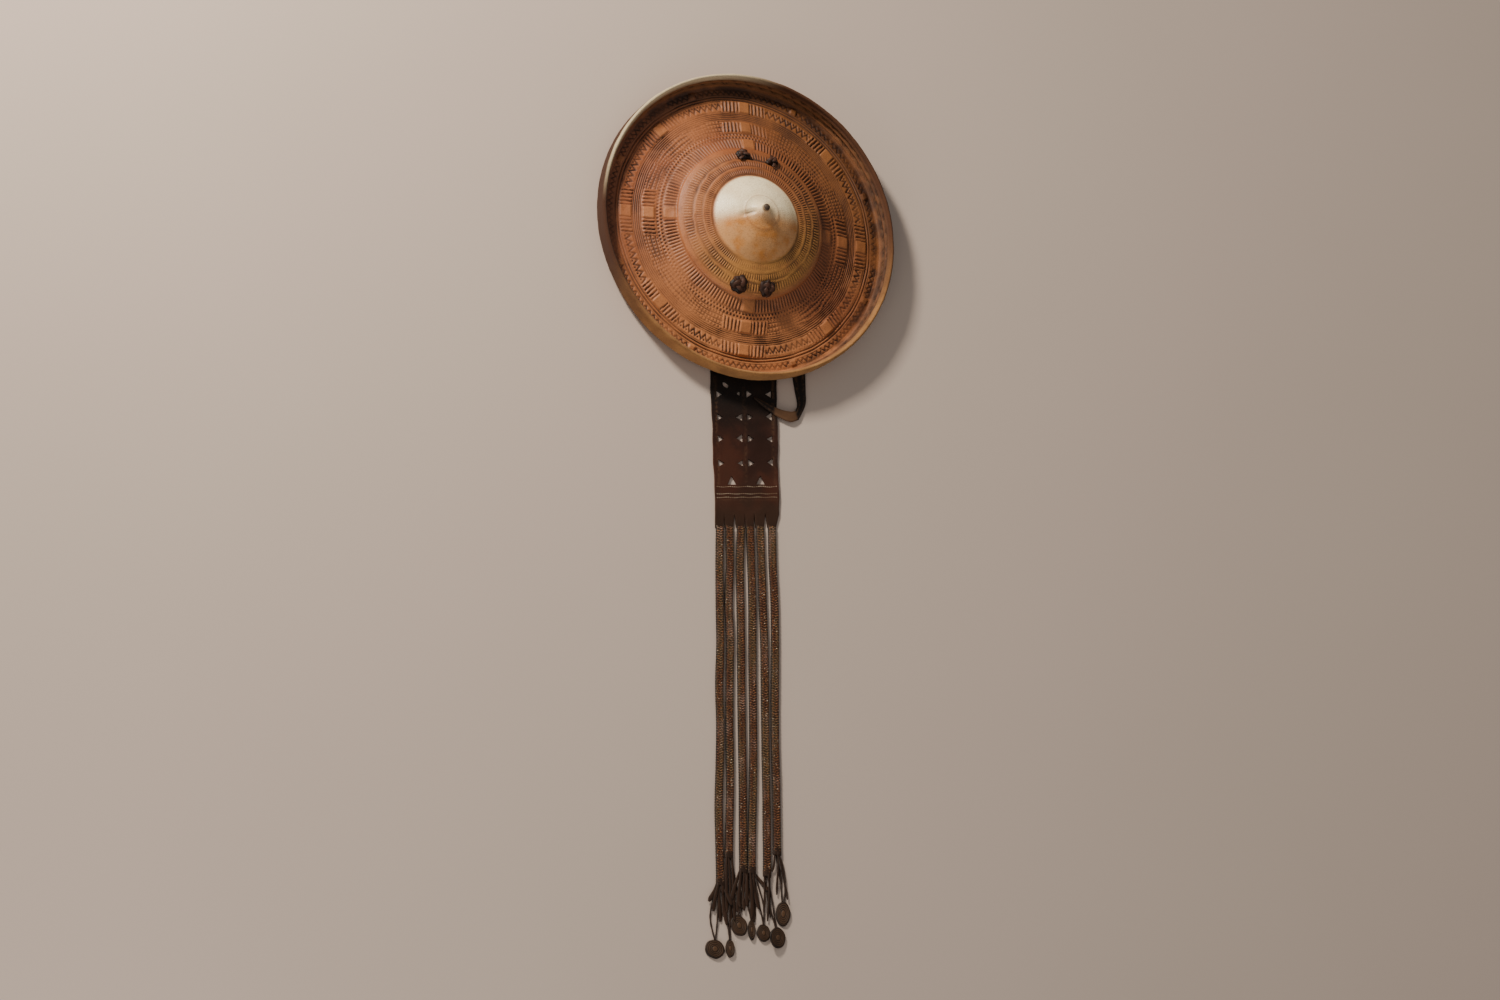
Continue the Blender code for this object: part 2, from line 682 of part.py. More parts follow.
def panel_stations(head_y):
    """Edge points of the sling panel, from its head at the grip's thongs down to its hem and tabs."""
    stations = []
    for lengths, width_share in PANEL_HEAD_ROWS:
        y, width = head_y + PANEL_HEAD_LENGTH * lengths, PANEL_HEAD_WIDTH * width_share
        reach = math.hypot(width / 2, y)
        level = strap_level(reach, head_y - PANEL_HEAD_LENGTH / 2 - y, STRAP_THICKNESS)
        stations.append((Vector((-width / 2, y, level)), Vector((width / 2, y, level))))
    for along, width in ((0.0, PANEL_TOP_WIDTH), (PANEL_LENGTH, PANEL_HEM_WIDTH)):
        stations.append((panel_point(-width / 2, along), panel_point(width / 2, along)))
    low = PANEL_LENGTH + TAB_LENGTH
    left = BRAID_STARTS[0] - BRAID_WIDTH / 2
    right = BRAID_STARTS[-1] + BRAID_WIDTH / 2
    stations.append((panel_point(left, low), panel_point(right, low)))
    return stations


def flat_cutter(name, outline, material):
    """A guide with a plan outline that runs through the strap laid on the floor."""
    bm = bmesh.new()
    down = Vector((0, 0, -STRAP_THICKNESS))
    up = Vector((0, 0, 2 * STRAP_THICKNESS))
    loft(bm, [[point + down for point in outline], [point + up for point in outline]])
    return add_object(name, bm, material)


def panel_cuts():
    """Outlines of the panel's openings: facing triangles, peaks, an eyelet and the slits of the hem."""
    outlines = []
    for along in CUT_ROWS:
        for across, way in zip(CUT_COLUMNS, CUT_POINTS):
            back_edge = across - way * CUT_LENGTH / 2
            tip = across + way * CUT_LENGTH / 2
            outlines.append(
                [
                    panel_point(back_edge, along - CUT_BASE / 2),
                    panel_point(tip, along),
                    panel_point(back_edge, along + CUT_BASE / 2),
                ]
            )
    for across in PEAK_COLUMNS:
        low, high = PEAK_ROW + PEAK_HEIGHT / 2, PEAK_ROW - PEAK_HEIGHT / 2
        outlines.append(
            [
                panel_point(across - PEAK_BASE / 2, low),
                panel_point(across, high),
                panel_point(across + PEAK_BASE / 2, low),
            ]
        )
    eyelet = []
    for angle in even_angles(EYELET_SIDES):
        along_axis, across_axis = math.cos(angle) * EYELET_RADII[0], math.sin(angle) * EYELET_RADII[1]
        turn = math.radians(EYELET_TURN)
        across = EYELET_PLACE[0] + along_axis * math.cos(turn) + across_axis * math.sin(turn)
        along = EYELET_PLACE[1] + along_axis * math.sin(turn) - across_axis * math.cos(turn)
        eyelet.append(panel_point(across, along))
    outlines.append(eyelet)
    for first, second in zip(BRAID_STARTS, BRAID_STARTS[1:]):
        middle = (first + second) / 2
        half = max(TAB_SLIT_WIDTH, second - first - BRAID_WIDTH) / 2
        low = PANEL_LENGTH + TAB_LENGTH + TAB_SLIT_WIDTH
        outlines.append(
            [
                panel_point(middle - half, low),
                panel_point(middle, PANEL_LENGTH - TAB_SLIT_WIDTH),
                panel_point(middle + half, low),
            ]
        )
    return outlines


def make_panel(material, holes):
    """The sling panel, with its openings, slit hem and two holes threaded on the grip's lower thongs."""
    lower = [place for place in holes if place[1] < 0]
    head_y = sum(place[1] for place in lower) / len(lower)
    panel = ribbon("sling_panel", panel_stations(head_y), STRAP_THICKNESS, material)
    for number, outline in enumerate(panel_cuts(), start=1):
        add_boolean(panel, flat_cutter(f"panel_cut_{number}", outline, material), "DIFFERENCE")
    for number, place in enumerate(lower, start=1):
        cutter = upright_cutter(f"panel_hole_{number}", place, THONG_RADIUS + STRAP_HOLE_MARGIN, material)
        add_boolean(panel, cutter, "DIFFERENCE")
    return panel


def carry_stations(hole):
    """Edge points of the carrying strap: from the grip's upper thong, under the rim, and over the panel."""
    rim = Vector((*CARRY_LEAVES_RIM, 0.0))
    inner = [Vector((hole[0] + x, hole[1] + y, 0.0)) for x, y in CARRY_FROM_HOLE]
    inner += [rim + Vector((x, y, 0.0)) for x, y in CARRY_TO_RIM]
    stations = []
    run = 0.0
    for index, point in enumerate(inner):
        before, after = inner[max(0, index - 1)], inner[min(len(inner) - 1, index + 1)]
        ahead = (after - before).normalized()
        side = Vector((ahead.y, -ahead.x, 0.0)) * CARRY_WIDTH / 2
        if index:
            run += (point - inner[index - 1]).length
        reach = max((point + side).length, (point - side).length)
        level = strap_level(reach, run - CARRY_WIDTH, CARRY_THICKNESS)
        lift = Vector((0, 0, level))
        stations.append((point + side + lift, point - side + lift))
    for pairs, level in ((CARRY_FOLD, 0.0), (CARRY_LAP, STRAP_THICKNESS + TOUCH_GAP)):
        for left, right in pairs:
            stations.append((Vector((*left, level)), Vector((*right, level))))
    return stations


def make_carrying_strap(material, holes):
    """The narrow carrying strap, threaded on the grip's upper thong on the sling's side."""
    hole = max(holes, key=lambda place: place[0] + place[1])
    strap = ribbon("carrying_strap", carry_stations(hole), CARRY_THICKNESS, material)
    cutter = upright_cutter("carrying_strap_hole", hole, THONG_RADIUS + STRAP_HOLE_MARGIN, material)
    add_boolean(strap, cutter, "DIFFERENCE")
    return strap


def braid_points(number):
    """Hand-placed points of a plait, from its tab along the floor."""
    skew = BRAID_WIDTH * (PANEL_ROW_SLANT + BRAID_SKEW)
    low = PANEL_LENGTH + TAB_LENGTH + TOUCH_GAP + skew
    start = panel_point(BRAID_STARTS[number], low)
    length = BRAID_LENGTHS[number]
    wander = BRAID_WANDER[number]
    points = []
    for index, shift in enumerate(wander):
        along = length * index / (len(wander) - 1)
        points.append(start + Vector((shift / 1000, -along, BRAID_THICKNESS / 2)))
    return points


def make_braid(number, material):
    """A flat plait as a plain strip with rounded edges, laid along its route."""
    name = f"braid_{number + 1}"
    curve = bpy.data.curves.new(name, "CURVE")
    curve.dimensions = "3D"
    curve.fill_mode = "FULL"
    curve.twist_mode = "Z_UP"
    curve.bevel_depth = BRAID_THICKNESS / 2
    curve.bevel_resolution = 1
    curve.extrude = (BRAID_WIDTH - BRAID_THICKNESS) / 2
    curve.use_fill_caps = True
    route = smooth_route(braid_points(number), BRAID_POINT_SPACING)
    spline = curve.splines.new("POLY")
    spline.points.add(len(route) - 1)
    for point, place in zip(spline.points, route):
        point.co = (*place, 1.0)
        point.tilt = math.pi / 2
    curve.materials.append(material)
    item = bpy.data.objects.new(name, curve)
    bpy.context.scene.collection.objects.link(item)
    return item


def disc_centre(place):
    """A disc's centre in plan, from the panel's hem line."""
    base = panel_point(0.0, PANEL_LENGTH + TAB_LENGTH)
    return Vector((base.x + place[0], base.y - place[1], 0.0))


def make_disc(number, place, half_sizes, lean, material):
    """A stamped disc with a raised middle, flat on the floor or leaning on its neighbour."""
    centre = disc_centre(place)
    rings = []
    tilt = math.radians(lean)
    for spread, up in DISC_PROFILE:
        ring = []
        for angle in even_angles(DISC_SIDES):
            x = half_sizes[0] * spread * math.cos(angle)
            y = half_sizes[1] * spread * math.sin(angle)
            z = DISC_THICKNESS * up
            lifted = (half_sizes[0] - x) * math.sin(tilt) + z * math.cos(tilt)
            ring.append(Vector((centre.x + x * math.cos(tilt) + z * math.sin(tilt), centre.y + y, lifted)))
        rings.append(ring)
    bm = bmesh.new()
    loft(bm, rings)
    return add_object(f"disc_{number}", bm, material)


def make_tail(number, braid, place, half_sizes, side, bow, material):
    """The thong that runs from a plait's end to its disc, bowed a little to one side."""
    start = braid_points(braid)[-1].copy()
    start.z = 0.0
    start += Vector((side * TAIL_WIDTH * TAIL_SPREAD, -TOUCH_GAP, 0.0))
    centre = disc_centre(place)
    top = centre + Vector((0, half_sizes[1] + TOUCH_GAP, 0.0))
    stations = []
    for index in range(TAIL_STATIONS + 1):
        share = index / TAIL_STATIONS
        point = start.lerp(top, share)
        point.x += bow * math.sin(math.pi * share)
        half = Vector((TAIL_WIDTH / 2, 0, 0))
        stations.append((point - half, point + half))
    return ribbon(f"disc_thong_{number}", stations, TAIL_THICKNESS, material)


def build():
    """Make every piece of the shield."""
    clear_scene()
    hide_leather = leather("tooled_hide", (0.42, 0.20, 0.10), 0.45)
    grip_leather = leather("grip_leather", (0.10, 0.05, 0.03), 0.55)
    strap_leather = leather("strap_leather", (0.035, 0.018, 0.014), 0.5)
    braid_leather = leather("braid_leather", (0.09, 0.040, 0.028), 0.5)
    disc_leather = leather("disc_leather", (0.10, 0.065, 0.045), 0.5)
    holes = knot_places()
    make_hide(hide_leather, holes)
    make_grip(grip_leather, holes)
    make_panel(strap_leather, holes)
    make_carrying_strap(strap_leather, holes)
    for number in range(len(BRAID_STARTS)):
        make_braid(number, braid_leather)
    threaded = {}
    for number, (braid, place, half_sizes, lean, bow) in enumerate(DISCS, start=1):
        make_disc(number, place, half_sizes, lean, disc_leather)
        side = threaded.get(braid, -1 if sum(row[0] == braid for row in DISCS) > 1 else 0)
        make_tail(number, braid, place, half_sizes, side, bow, braid_leather)
        threaded[braid] = 1


build()
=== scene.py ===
"""Looks of a tooled hide shield with its sling panel, carrying strap, six plaits and stamped discs."""

import logging
from dataclasses import dataclass
from enum import Enum
from math import copysign, cos, pi, radians, sin
from types import MappingProxyType
from typing import Iterable, Mapping, Sequence, Union

import bmesh
import bpy
import numpy as np
from mathutils import Matrix, Vector, noise


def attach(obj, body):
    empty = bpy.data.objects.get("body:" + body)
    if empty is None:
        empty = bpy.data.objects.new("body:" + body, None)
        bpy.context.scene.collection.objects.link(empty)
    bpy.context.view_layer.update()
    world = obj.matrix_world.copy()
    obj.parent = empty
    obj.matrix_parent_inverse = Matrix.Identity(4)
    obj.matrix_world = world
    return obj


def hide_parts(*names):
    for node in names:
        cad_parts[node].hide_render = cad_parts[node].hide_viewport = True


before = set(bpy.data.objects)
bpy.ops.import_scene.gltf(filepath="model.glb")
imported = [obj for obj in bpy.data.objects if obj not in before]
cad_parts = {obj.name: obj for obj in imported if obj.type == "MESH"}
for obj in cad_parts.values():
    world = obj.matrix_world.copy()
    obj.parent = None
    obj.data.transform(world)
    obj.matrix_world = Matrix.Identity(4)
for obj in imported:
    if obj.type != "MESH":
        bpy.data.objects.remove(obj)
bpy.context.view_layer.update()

LOG = logging.getLogger("hide_shield")
MM = 0.001
TURN = 2.0 * pi
FOOT_LEVEL = 0.066269
KNOT_PLACES = ((-0.0248, -0.1159), (0.0269, -0.1154), (-0.0181, 0.1171), (0.0356, 0.1130))
STRAP_THICKNESS = 0.003
STRIP_SPACING = 0.0022
UP = Vector((0.0, 0.0, 1.0))
PANEL_MIDDLE, PANEL_LEAN, PANEL_TOP, PANEL_SLANT = 0.0055, 0.0297, -0.26, 0.149

Tone = tuple[float, float, float, float]
Pair = tuple[float, float]
Pairs = tuple[Pair, ...]
Face = tuple[int, ...]
Rings = Sequence[Sequence[Vector]]
Inputs = Mapping[Union[str, int], object]
NO_INPUTS: Inputs = MappingProxyType({})
Item, Material, Socket, NodeTree = bpy.types.Object, bpy.types.Material, bpy.types.NodeSocket, bpy.types.NodeTree


def tone(red: float, green: float, blue: float) -> Tone:
    """An opaque finish colour in linear light, from display values of 0 to 255."""
    shares = (value / 255.0 for value in (red, green, blue))
    linear = [share / 12.92 if share <= 0.04045 else ((share + 0.055) / 1.055) ** 2.4 for share in shares]
    return (*linear, 1.0)


class NodeMaths:
    """A number worked out by the nodes of one tree, with signs and a few shapes made from it."""

    def __init__(self, tree: NodeTree, socket: Socket) -> None:
        """Keep the tree and the socket that gives the number."""
        self.tree = tree
        self.socket = socket

    def step(self, operation: str, *others: "Number") -> "NodeMaths":
        """One Math node on this number.

        Args:
            operation: The Math node's operation.
            others: Its further inputs.

        Returns:
            The node's result.
        """
        node = add_node(self.tree, "ShaderNodeMath", dict(enumerate((self, *others))), operation=operation)
        return NodeMaths(self.tree, node.outputs[0])

    def __add__(self, other: "Number") -> "NodeMaths":
        """The sum."""
        return self.step("ADD", other)

    __radd__ = __add__

    def __sub__(self, other: "Number") -> "NodeMaths":
        """The difference."""
        return self.step("SUBTRACT", other)

    def __rsub__(self, other: float) -> "NodeMaths":
        """A constant less this number."""
        return self.step("MULTIPLY", -1.0).step("ADD", other)

    def __mul__(self, other: "Number") -> "NodeMaths":
        """The product."""
        return self.step("MULTIPLY", other)

    __rmul__ = __mul__

    def __truediv__(self, other: "Number") -> "NodeMaths":
        """The quotient."""
        return self.step("DIVIDE", other)

    def size(self) -> "NodeMaths":
        """The number without its sign."""
        return self.step("ABSOLUTE")

    def most(self, other: "Number") -> "NodeMaths":
        """The larger of two."""
        return self.step("MAXIMUM", other)

    def least(self, other: "Number") -> "NodeMaths":
        """The smaller of two."""
        return self.step("MINIMUM", other)

    def to_nearest(self) -> "NodeMaths":
        """How far the number is from the nearest whole one, 0 to a half."""
        return ((self + 0.5).step("FRACT") - 0.5).size()

    def reach(self, other: "NodeMaths") -> "NodeMaths":
        """How far a point is that lies this number along and the other across."""
        return (self * self + other * other).step("SQRT")

    def ramp(self, start: "Number", end: "Number", first: float, last: float) -> "NodeMaths":
        """A smooth change over a stretch of this number.

        Args:
            start: Where the change begins.
            end: Where it ends.
            first: The value before it.
            last: The value after it.

        Returns:
            The value at this number.
        """
        inputs = dict(enumerate((self, start, end, first, last)))
        node = add_node(self.tree, "ShaderNodeMapRange", inputs, interpolation_type="SMOOTHSTEP")
        return NodeMaths(self.tree, node.outputs[0])

    def rising(self, start: "Number", end: "Number") -> "NodeMaths":
        """0 up to start, 1 from end."""
        return self.ramp(start, end, 0.0, 1.0)

    def falling(self, start: "Number", end: "Number") -> "NodeMaths":
        """1 up to start, 0 from end."""
        return self.ramp(start, end, 1.0, 0.0)

    def between(self, low: float, high: float, soft: float) -> "NodeMaths":
        """1 between two limits, 0 outside them, with soft ends."""
        return self.rising(low - soft, low + soft) * self.falling(high - soft, high + soft)

    def near(self, centre: "Number", width: float) -> "NodeMaths":
        """1 at a centre, 0 from a width away on both sides."""
        return (self - centre).size().falling(0.0, width)


Number = Union[NodeMaths, float]


def fill_inputs(node: bpy.types.Node, inputs: Inputs) -> None:
    """Give a node's inputs, by name or number, a constant, a socket or a worked-out number."""
    for key, value in inputs.items():
        if isinstance(value, NodeMaths):
            value = value.socket
        if isinstance(value, Socket):
            node.id_data.links.new(value, node.inputs[key])
        else:
            node.inputs[key].default_value = value


def add_node(tree: NodeTree, kind: str, inputs: Inputs = NO_INPUTS, **settings: str) -> bpy.types.Node:
    """A new node.

    Args:
        tree: The tree that it stands in.
        kind: The node's type.
        inputs: What its inputs get, by name or number.
        settings: Its settings, by name.

    Returns:
        The node.
    """
    node = tree.nodes.new(kind)
    for name, value in settings.items():
        setattr(node, name, value)
    fill_inputs(node, inputs)
    return node


def final_mesh(item: Item) -> bpy.types.Mesh:
    """A new mesh of an object as its modifiers or its curve settings leave it."""
    graph = bpy.context.evaluated_depsgraph_get()
    return bpy.data.meshes.new_from_object(item.evaluated_get(graph), preserve_all_data_layers=True, depsgraph=graph)


class NodeBuilder:
    """Adds nodes to one tree."""

    tree: NodeTree

    def node(self, kind: str, inputs: Inputs = NO_INPUTS, **settings: str) -> bpy.types.Node:
        """A new node of this tree."""
        return add_node(self.tree, kind, inputs, **settings)

    def number(self, kind: str, inputs: Inputs = NO_INPUTS, **settings: str) -> NodeMaths:
        """The first output of a new node, as a number."""
        return NodeMaths(self.tree, self.node(kind, inputs, **settings).outputs[0])


class ShapeTree(NodeBuilder):
    """A Geometry Nodes tree that is built step by step, with its sizes as named inputs."""

    def __init__(self, name: str) -> None:
        """Start an empty tree of this name with its input and output."""
        self.tree = bpy.data.node_groups.new(name, "GeometryNodeTree")
        for way in ("INPUT", "OUTPUT"):
            self.tree.interface.new_socket("Geometry", in_out=way, socket_type="NodeSocketGeometry")
        self.entry, self.exit = self.node("NodeGroupInput"), self.node("NodeGroupOutput")
        self.geometry = self.entry.outputs["Geometry"]
        self.values: dict[str, float] = {}
        self.place = self.node("GeometryNodeInputPosition").outputs[0]

    def size(self, name: str, value: float) -> NodeMaths:
        """A named input of the tree.

        Args:
            name: The input's name.
            value: What the modifier gives it.

        Returns:
            The number.
        """
        socket = self.tree.interface.new_socket(name, in_out="INPUT", socket_type="NodeSocketFloat")
        self.values[socket.identifier] = value
        return NodeMaths(self.tree, self.entry.outputs[name])

    def attribute(self, name: str) -> NodeMaths:
        """A number kept on the mesh's points."""
        return self.number("GeometryNodeInputNamedAttribute", {"Name": name}, data_type="FLOAT")

    def unevenness(self, scale: float, seed: Number, detail: float = 2.0) -> NodeMaths:
        """Smooth random numbers about 0, from about -1 to 1.

        Args:
            scale: Features in a metre.
            seed: Which pattern.
            detail: How many finer layers it has.

        Returns:
            The number at each point.
        """
        inputs = {"Vector": self.place, "W": seed, "Scale": scale, "Detail": detail}
        return (self.number("ShaderNodeTexNoise", inputs, noise_dimensions="4D") - 0.5) * 3.0

    def join(self, x: Number, y: Number, z: Number) -> Socket:
        """A vector from three numbers."""
        return self.node("ShaderNodeCombineXYZ", dict(enumerate((x, y, z)))).outputs[0]

    def along_normal(self, distance: NodeMaths) -> Socket:
        """The surface's own direction times a distance in metres."""
        normal = self.node("GeometryNodeInputNormal").outputs[0]
        return self.node("ShaderNodeVectorMath", {0: normal, "Scale": distance}, operation="SCALE").outputs[0]

    def move(self, offset: Socket) -> None:
        """Move every point by an offset."""
        node = self.node("GeometryNodeSetPosition", {"Geometry": self.geometry, "Offset": offset})
        self.geometry = node.outputs["Geometry"]

    def keep(self, name: str, value: NodeMaths) -> None:
        """Keep a number on the mesh's points for the finish to read."""
        inputs = {"Name": name, "Geometry": self.geometry, "Value": value}
        node = self.node("GeometryNodeStoreNamedAttribute", inputs, data_type="FLOAT", domain="POINT")
        self.geometry = node.outputs["Geometry"]

    def shape(self, piece: Item, material: Material) -> Item:
        """End the tree, run it on a piece and leave the result as the piece's plain mesh.

        Args:
            piece: The piece with the mesh that the tree starts from.
            material: The finish that the result gets.

        Returns:
            The piece.
        """
        realize = self.node("GeometryNodeRealizeInstances", {"Geometry": self.geometry})
        inputs = {"Material": material, "Geometry": realize.outputs["Geometry"]}
        finish = self.node("GeometryNodeSetMaterial", inputs)
        fill_inputs(self.exit, {"Geometry": finish.outputs["Geometry"]})
        modifier = piece.modifiers.new("shape", "NODES")
        modifier.node_group = self.tree
        for identifier, value in self.values.items():
            modifier[identifier] = value
        result = final_mesh(piece)
        piece.modifiers.remove(modifier)
        base = piece.data
        piece.data = result
        result.name = piece.name
        bpy.data.meshes.remove(base)
        return piece


class FinishTree(NodeBuilder):
    """The nodes of one procedural finish, on the piece's own coordinates and attributes."""

    def __init__(self, name: str) -> None:
        """Start a material of this name with its shader."""
        self.material = bpy.data.materials.new(name)
        self.material.use_nodes = True
        self.tree = self.material.node_tree
        self.tree.nodes.clear()
        self.shader = self.node("ShaderNodeBsdfPrincipled")
        self.node("ShaderNodeOutputMaterial", {"Surface": self.shader.outputs[0]})
        self.place = self.node("ShaderNodeTexCoord").outputs["Object"]

    def attribute(self, name: str) -> NodeMaths:
        """A number kept on the mesh's points."""
        node = self.node("ShaderNodeAttribute", attribute_type="GEOMETRY", attribute_name=name)
        return NodeMaths(self.tree, node.outputs["Fac"])

    def axis(self, index: int) -> NodeMaths:
        """One of the piece's own coordinates, in metres."""
        return NodeMaths(self.tree, self.node("ShaderNodeSeparateXYZ", {0: self.place}).outputs[index])

    def cloud(self, scale: float, detail: float = 3.0, stretch: Sequence[float] = (1, 1, 1)) -> NodeMaths:
        """Smooth random numbers from 0 to 1.

        Args:
            scale: Features in a metre.
            detail: How many finer layers it has.
            stretch: How much each axis is packed.

        Returns:
            The number at each point.
        """
        place = self.node("ShaderNodeMapping", {"Scale": stretch, "Vector": self.place}).outputs[0]
        inputs = {"Scale": scale, "Detail": detail, "Vector": place}
        return self.number("ShaderNodeTexNoise", inputs)

    def grain(self, scale: float) -> NodeMaths:
        """Distance from the nearest of many scattered pores, 0 at a pore."""
        node = self.node("ShaderNodeTexVoronoi", {"Scale": scale, "Vector": self.place})
        return NodeMaths(self.tree, node.outputs["Distance"])

    def mix(self, share: Number, first: Union[Tone, Socket], second: Union[Tone, Socket]) -> Socket:
        """Two colours mixed: the first at a share of 0, the second at 1."""
        return self.node("ShaderNodeMix", {0: share, 6: first, 7: second}, data_type="RGBA").outputs[2]

    def coated(self, ground: Socket, *coats: tuple[Number, Union[Tone, Socket]]) -> Socket:
        """A colour with others laid over it in turn.

        Args:
            ground: The colour below.
            coats: For each coat its share, 0 to 1, and its colour.

        Returns:
            The colour seen.
        """
        for share, coat in coats:
            ground = self.mix(share, ground, coat)
        return ground

    def finish(
        self, colour: Socket, roughness: NodeMaths, height: NodeMaths, depth: float, gloss: float
    ) -> Material:
        """Join colour, roughness and fine relief to the shader.

        Args:
            colour: The surface's colour.
            roughness: Its roughness.
            height: Fine relief from 0 to 1.
            depth: The relief's depth in metres.
            gloss: The specular level, the same all over.

        Returns:
            The material.
        """
        bump = self.node("ShaderNodeBump", {"Distance": depth, "Height": height})
        look = {"Base Color": colour, "Roughness": roughness, "Specular IOR Level": gloss}
        fill_inputs(self.shader, {**look, "Normal": bump.outputs[0]})
        return self.material


@dataclass(frozen=True)
class TooledHideFinish:
    """Old tooled hide: red tan, gold near the boss, polished on it and pale over its upper half as a painted
    highlight, dark in its cuts and rim partly as painted shade, with painted shade on the far side and a painted
    highlight on the upper-left lip.
    """

    tan: Tone = tone(174, 108, 66)
    russet: Tone = tone(146, 82, 48)
    gold: Tone = tone(180, 126, 62)
    painted_shade_olive: Tone = tone(112, 68, 28)
    painted_highlight_ivory: Tone = tone(255, 236, 194)
    honey: Tone = tone(192, 122, 52)
    soot_and_painted_shade: Tone = tone(40, 20, 11)
    rim_dark: Tone = tone(76, 44, 25)
    rim_gold: Tone = tone(166, 118, 70)
    wall_brown: Tone = tone(110, 72, 38)
    pad: Tone = tone(180, 116, 64)
    rosy: Tone = tone(206, 134, 80)
    flesh: Tone = tone(150, 112, 74)

    def material(self) -> Material:
        """The hide's procedural material."""
        nodes = FinishTree("tooled_hide_finish")
        radius, wall = nodes.attribute("radius"), nodes.attribute("wall")
        cut, pad, front = nodes.attribute("cut"), nodes.attribute("pad"), nodes.attribute("front")
        x, y = nodes.axis(0), nodes.axis(1)
        patches, smears = nodes.cloud(9.0, 4.0), nodes.cloud(38.0, 5.0)
        fibre, pores = nodes.cloud(420.0, 3.0), nodes.grain(900.0)
        rubbed = nodes.cloud(17.0, 4.0, (1.0, 1.6, 1.0))
        lower_left = (x * 0.5 - y).rising(-0.03, 0.09)
        bottom = (y * -1.0 - x * 0.2).rising(0.06, 0.22)
        left_side = (x * -1.0 + y * 0.1).rising(0.05, 0.20)
        # Painted shade: the upper right of the hide, whose slopes face away from the key light, turns olive.
        painted_far_shade = (x * 0.75 + y * 0.66).rising(-0.02, 0.24)
        # Painted shade: marks the upper and right side of the rim's inside, which lies in the rim's own shadow.
        painted_rim_shadow_side = (x * 0.72 + y * 0.70).rising(-0.14, 0.06)
        # Marks the top of the hide, for the painted shadow that the rim casts on the outer bands there.
        high = (x * 0.3 + y).rising(0.02, 0.18)
        low_side = (y * -1.0 + x * 0.25).rising(0.02, 0.24)
        # Marks the upper left, where a painted highlight lies on the rim's lip.
        painted_lip_highlight_side = (y - x * 0.75).rising(0.20, 0.30)
        # Painted shade: the inside of the rim on the right, which the key light strikes directly, is darkened.
        painted_right_wall_shade = wall.rising(2.0, 8.0) * (x - y * 0.2).rising(0.10, 0.24)
        # The patchy mask below breaks up both the dark in the cuts and the painted shade in the valley.
        outer, grime_and_painted_shade = wall.rising(25.0, 31.0), smears.rising(0.40, 0.60)
        # Painted shade in the valley at the foot of the rim, mostly on its shadowed side.
        valley = radius.near(250.0, 14.0) * wall.falling(4.0, 14.0) * (painted_rim_shadow_side * 0.7 + 0.2)
        colour = nodes.coated(
            nodes.mix(patches.rising(0.36, 0.64), self.tan, self.russet),
            (radius.falling(118.0, 136.0) * (lower_left * 0.8 + 0.1), self.gold),
            (smears.rising(0.52, 0.74) * 0.45, self.russet),
            (bottom * 0.6, self.rosy),
            (left_side * 0.4, self.russet),
            # Painted shade on the upper right, towards olive.
            (painted_far_shade * 0.75, self.painted_shade_olive),
            (nodes.cloud(27.0, 6.0).rising(0.50, 0.68) * 0.3, self.rim_dark),
            (pad * 0.35, self.pad),
            # The rim's inside turns browner: a little all round as its own colour, strongly on its shadowed side as
            # painted shade.
            (wall.rising(1.0, 9.0) * (painted_rim_shadow_side * 0.7 + 0.2), self.wall_brown),
            (pad * wall.rising(2.0, 4.0) * 0.45, self.russet),
            # Painted shadow of the rim on the outer bands at the top.
            (radius.rising(224.0, 246.0) * wall.falling(2.0, 6.0) * high * 0.55, self.rim_dark),
            # Painted shade on the right inside of the rim, towards soot-brown, in patches.
            (painted_right_wall_shade * (0.35 + smears.rising(0.4, 0.6) * 0.4), self.soot_and_painted_shade),
            (outer * 0.9, self.rim_dark),
            (outer * (x * -1.0).rising(0.16, 0.25) * 0.6, self.soot_and_painted_shade),
            (outer * low_side * (0.6 + smears.rising(0.3, 0.7) * 0.4), self.rim_gold),
            # Painted highlight: a pale ivory strip on the upper-left lip.
            (wall.between(29.0, 45.0, 3.0) * painted_lip_highlight_side * 0.5, self.painted_highlight_ivory),
            # Cuts darkened towards soot-brown: dirt in the tool marks, with painted shade in their grooves.
            (cut * (0.72 + grime_and_painted_shade * 0.25), self.soot_and_painted_shade),
            # Painted shade in the valley at the rim's foot, broken up in patches.
            (valley * grime_and_painted_shade * 0.8, self.soot_and_painted_shade),
        )
        boss = radius.falling(74.0, 79.0)
        # Painted highlight: the boss's upper half is ivory over the honey of its lower half, split on a line through
        # the knob.
        lower = (y * -0.9 + x * 0.08).rising(-0.018, 0.016)
        tip = radius.falling(5.2, 7.4)
        pale = nodes.coated(
            nodes.mix(lower * 0.84 + smears.rising(0.4, 0.7) * 0.16, self.painted_highlight_ivory, self.honey),
            (nodes.cloud(60.0, 6.0).rising(0.58, 0.70) * 0.18, self.russet),
            (radius.near(30.5, 2.2) * 0.3, self.russet),
            # Painted shade along the crease in the boss.
            (nodes.attribute("fold") * 0.75, self.soot_and_painted_shade),
            (tip * 0.96, self.soot_and_painted_shade),
        )
        colour = nodes.coated(
            colour,
            (boss, pale),
            ((1.0 - front) * 0.9, nodes.mix(patches, self.flesh, self.russet)),
            (fibre.rising(0.45, 0.8) * 0.3, self.soot_and_painted_shade),
        )
        dull = cut * 0.2 + (1.0 - front) * 0.25 + wall.rising(1.0, 6.0) * (0.3 + wall.rising(28.0, 34.0) * 0.3)
        roughness = 0.38 + rubbed * 0.25 - boss * 0.16 + dull
        height = fibre * 0.6 + pores * 0.5
        return nodes.finish(colour, roughness + tip * 0.3, height, 0.00035, 0.45)


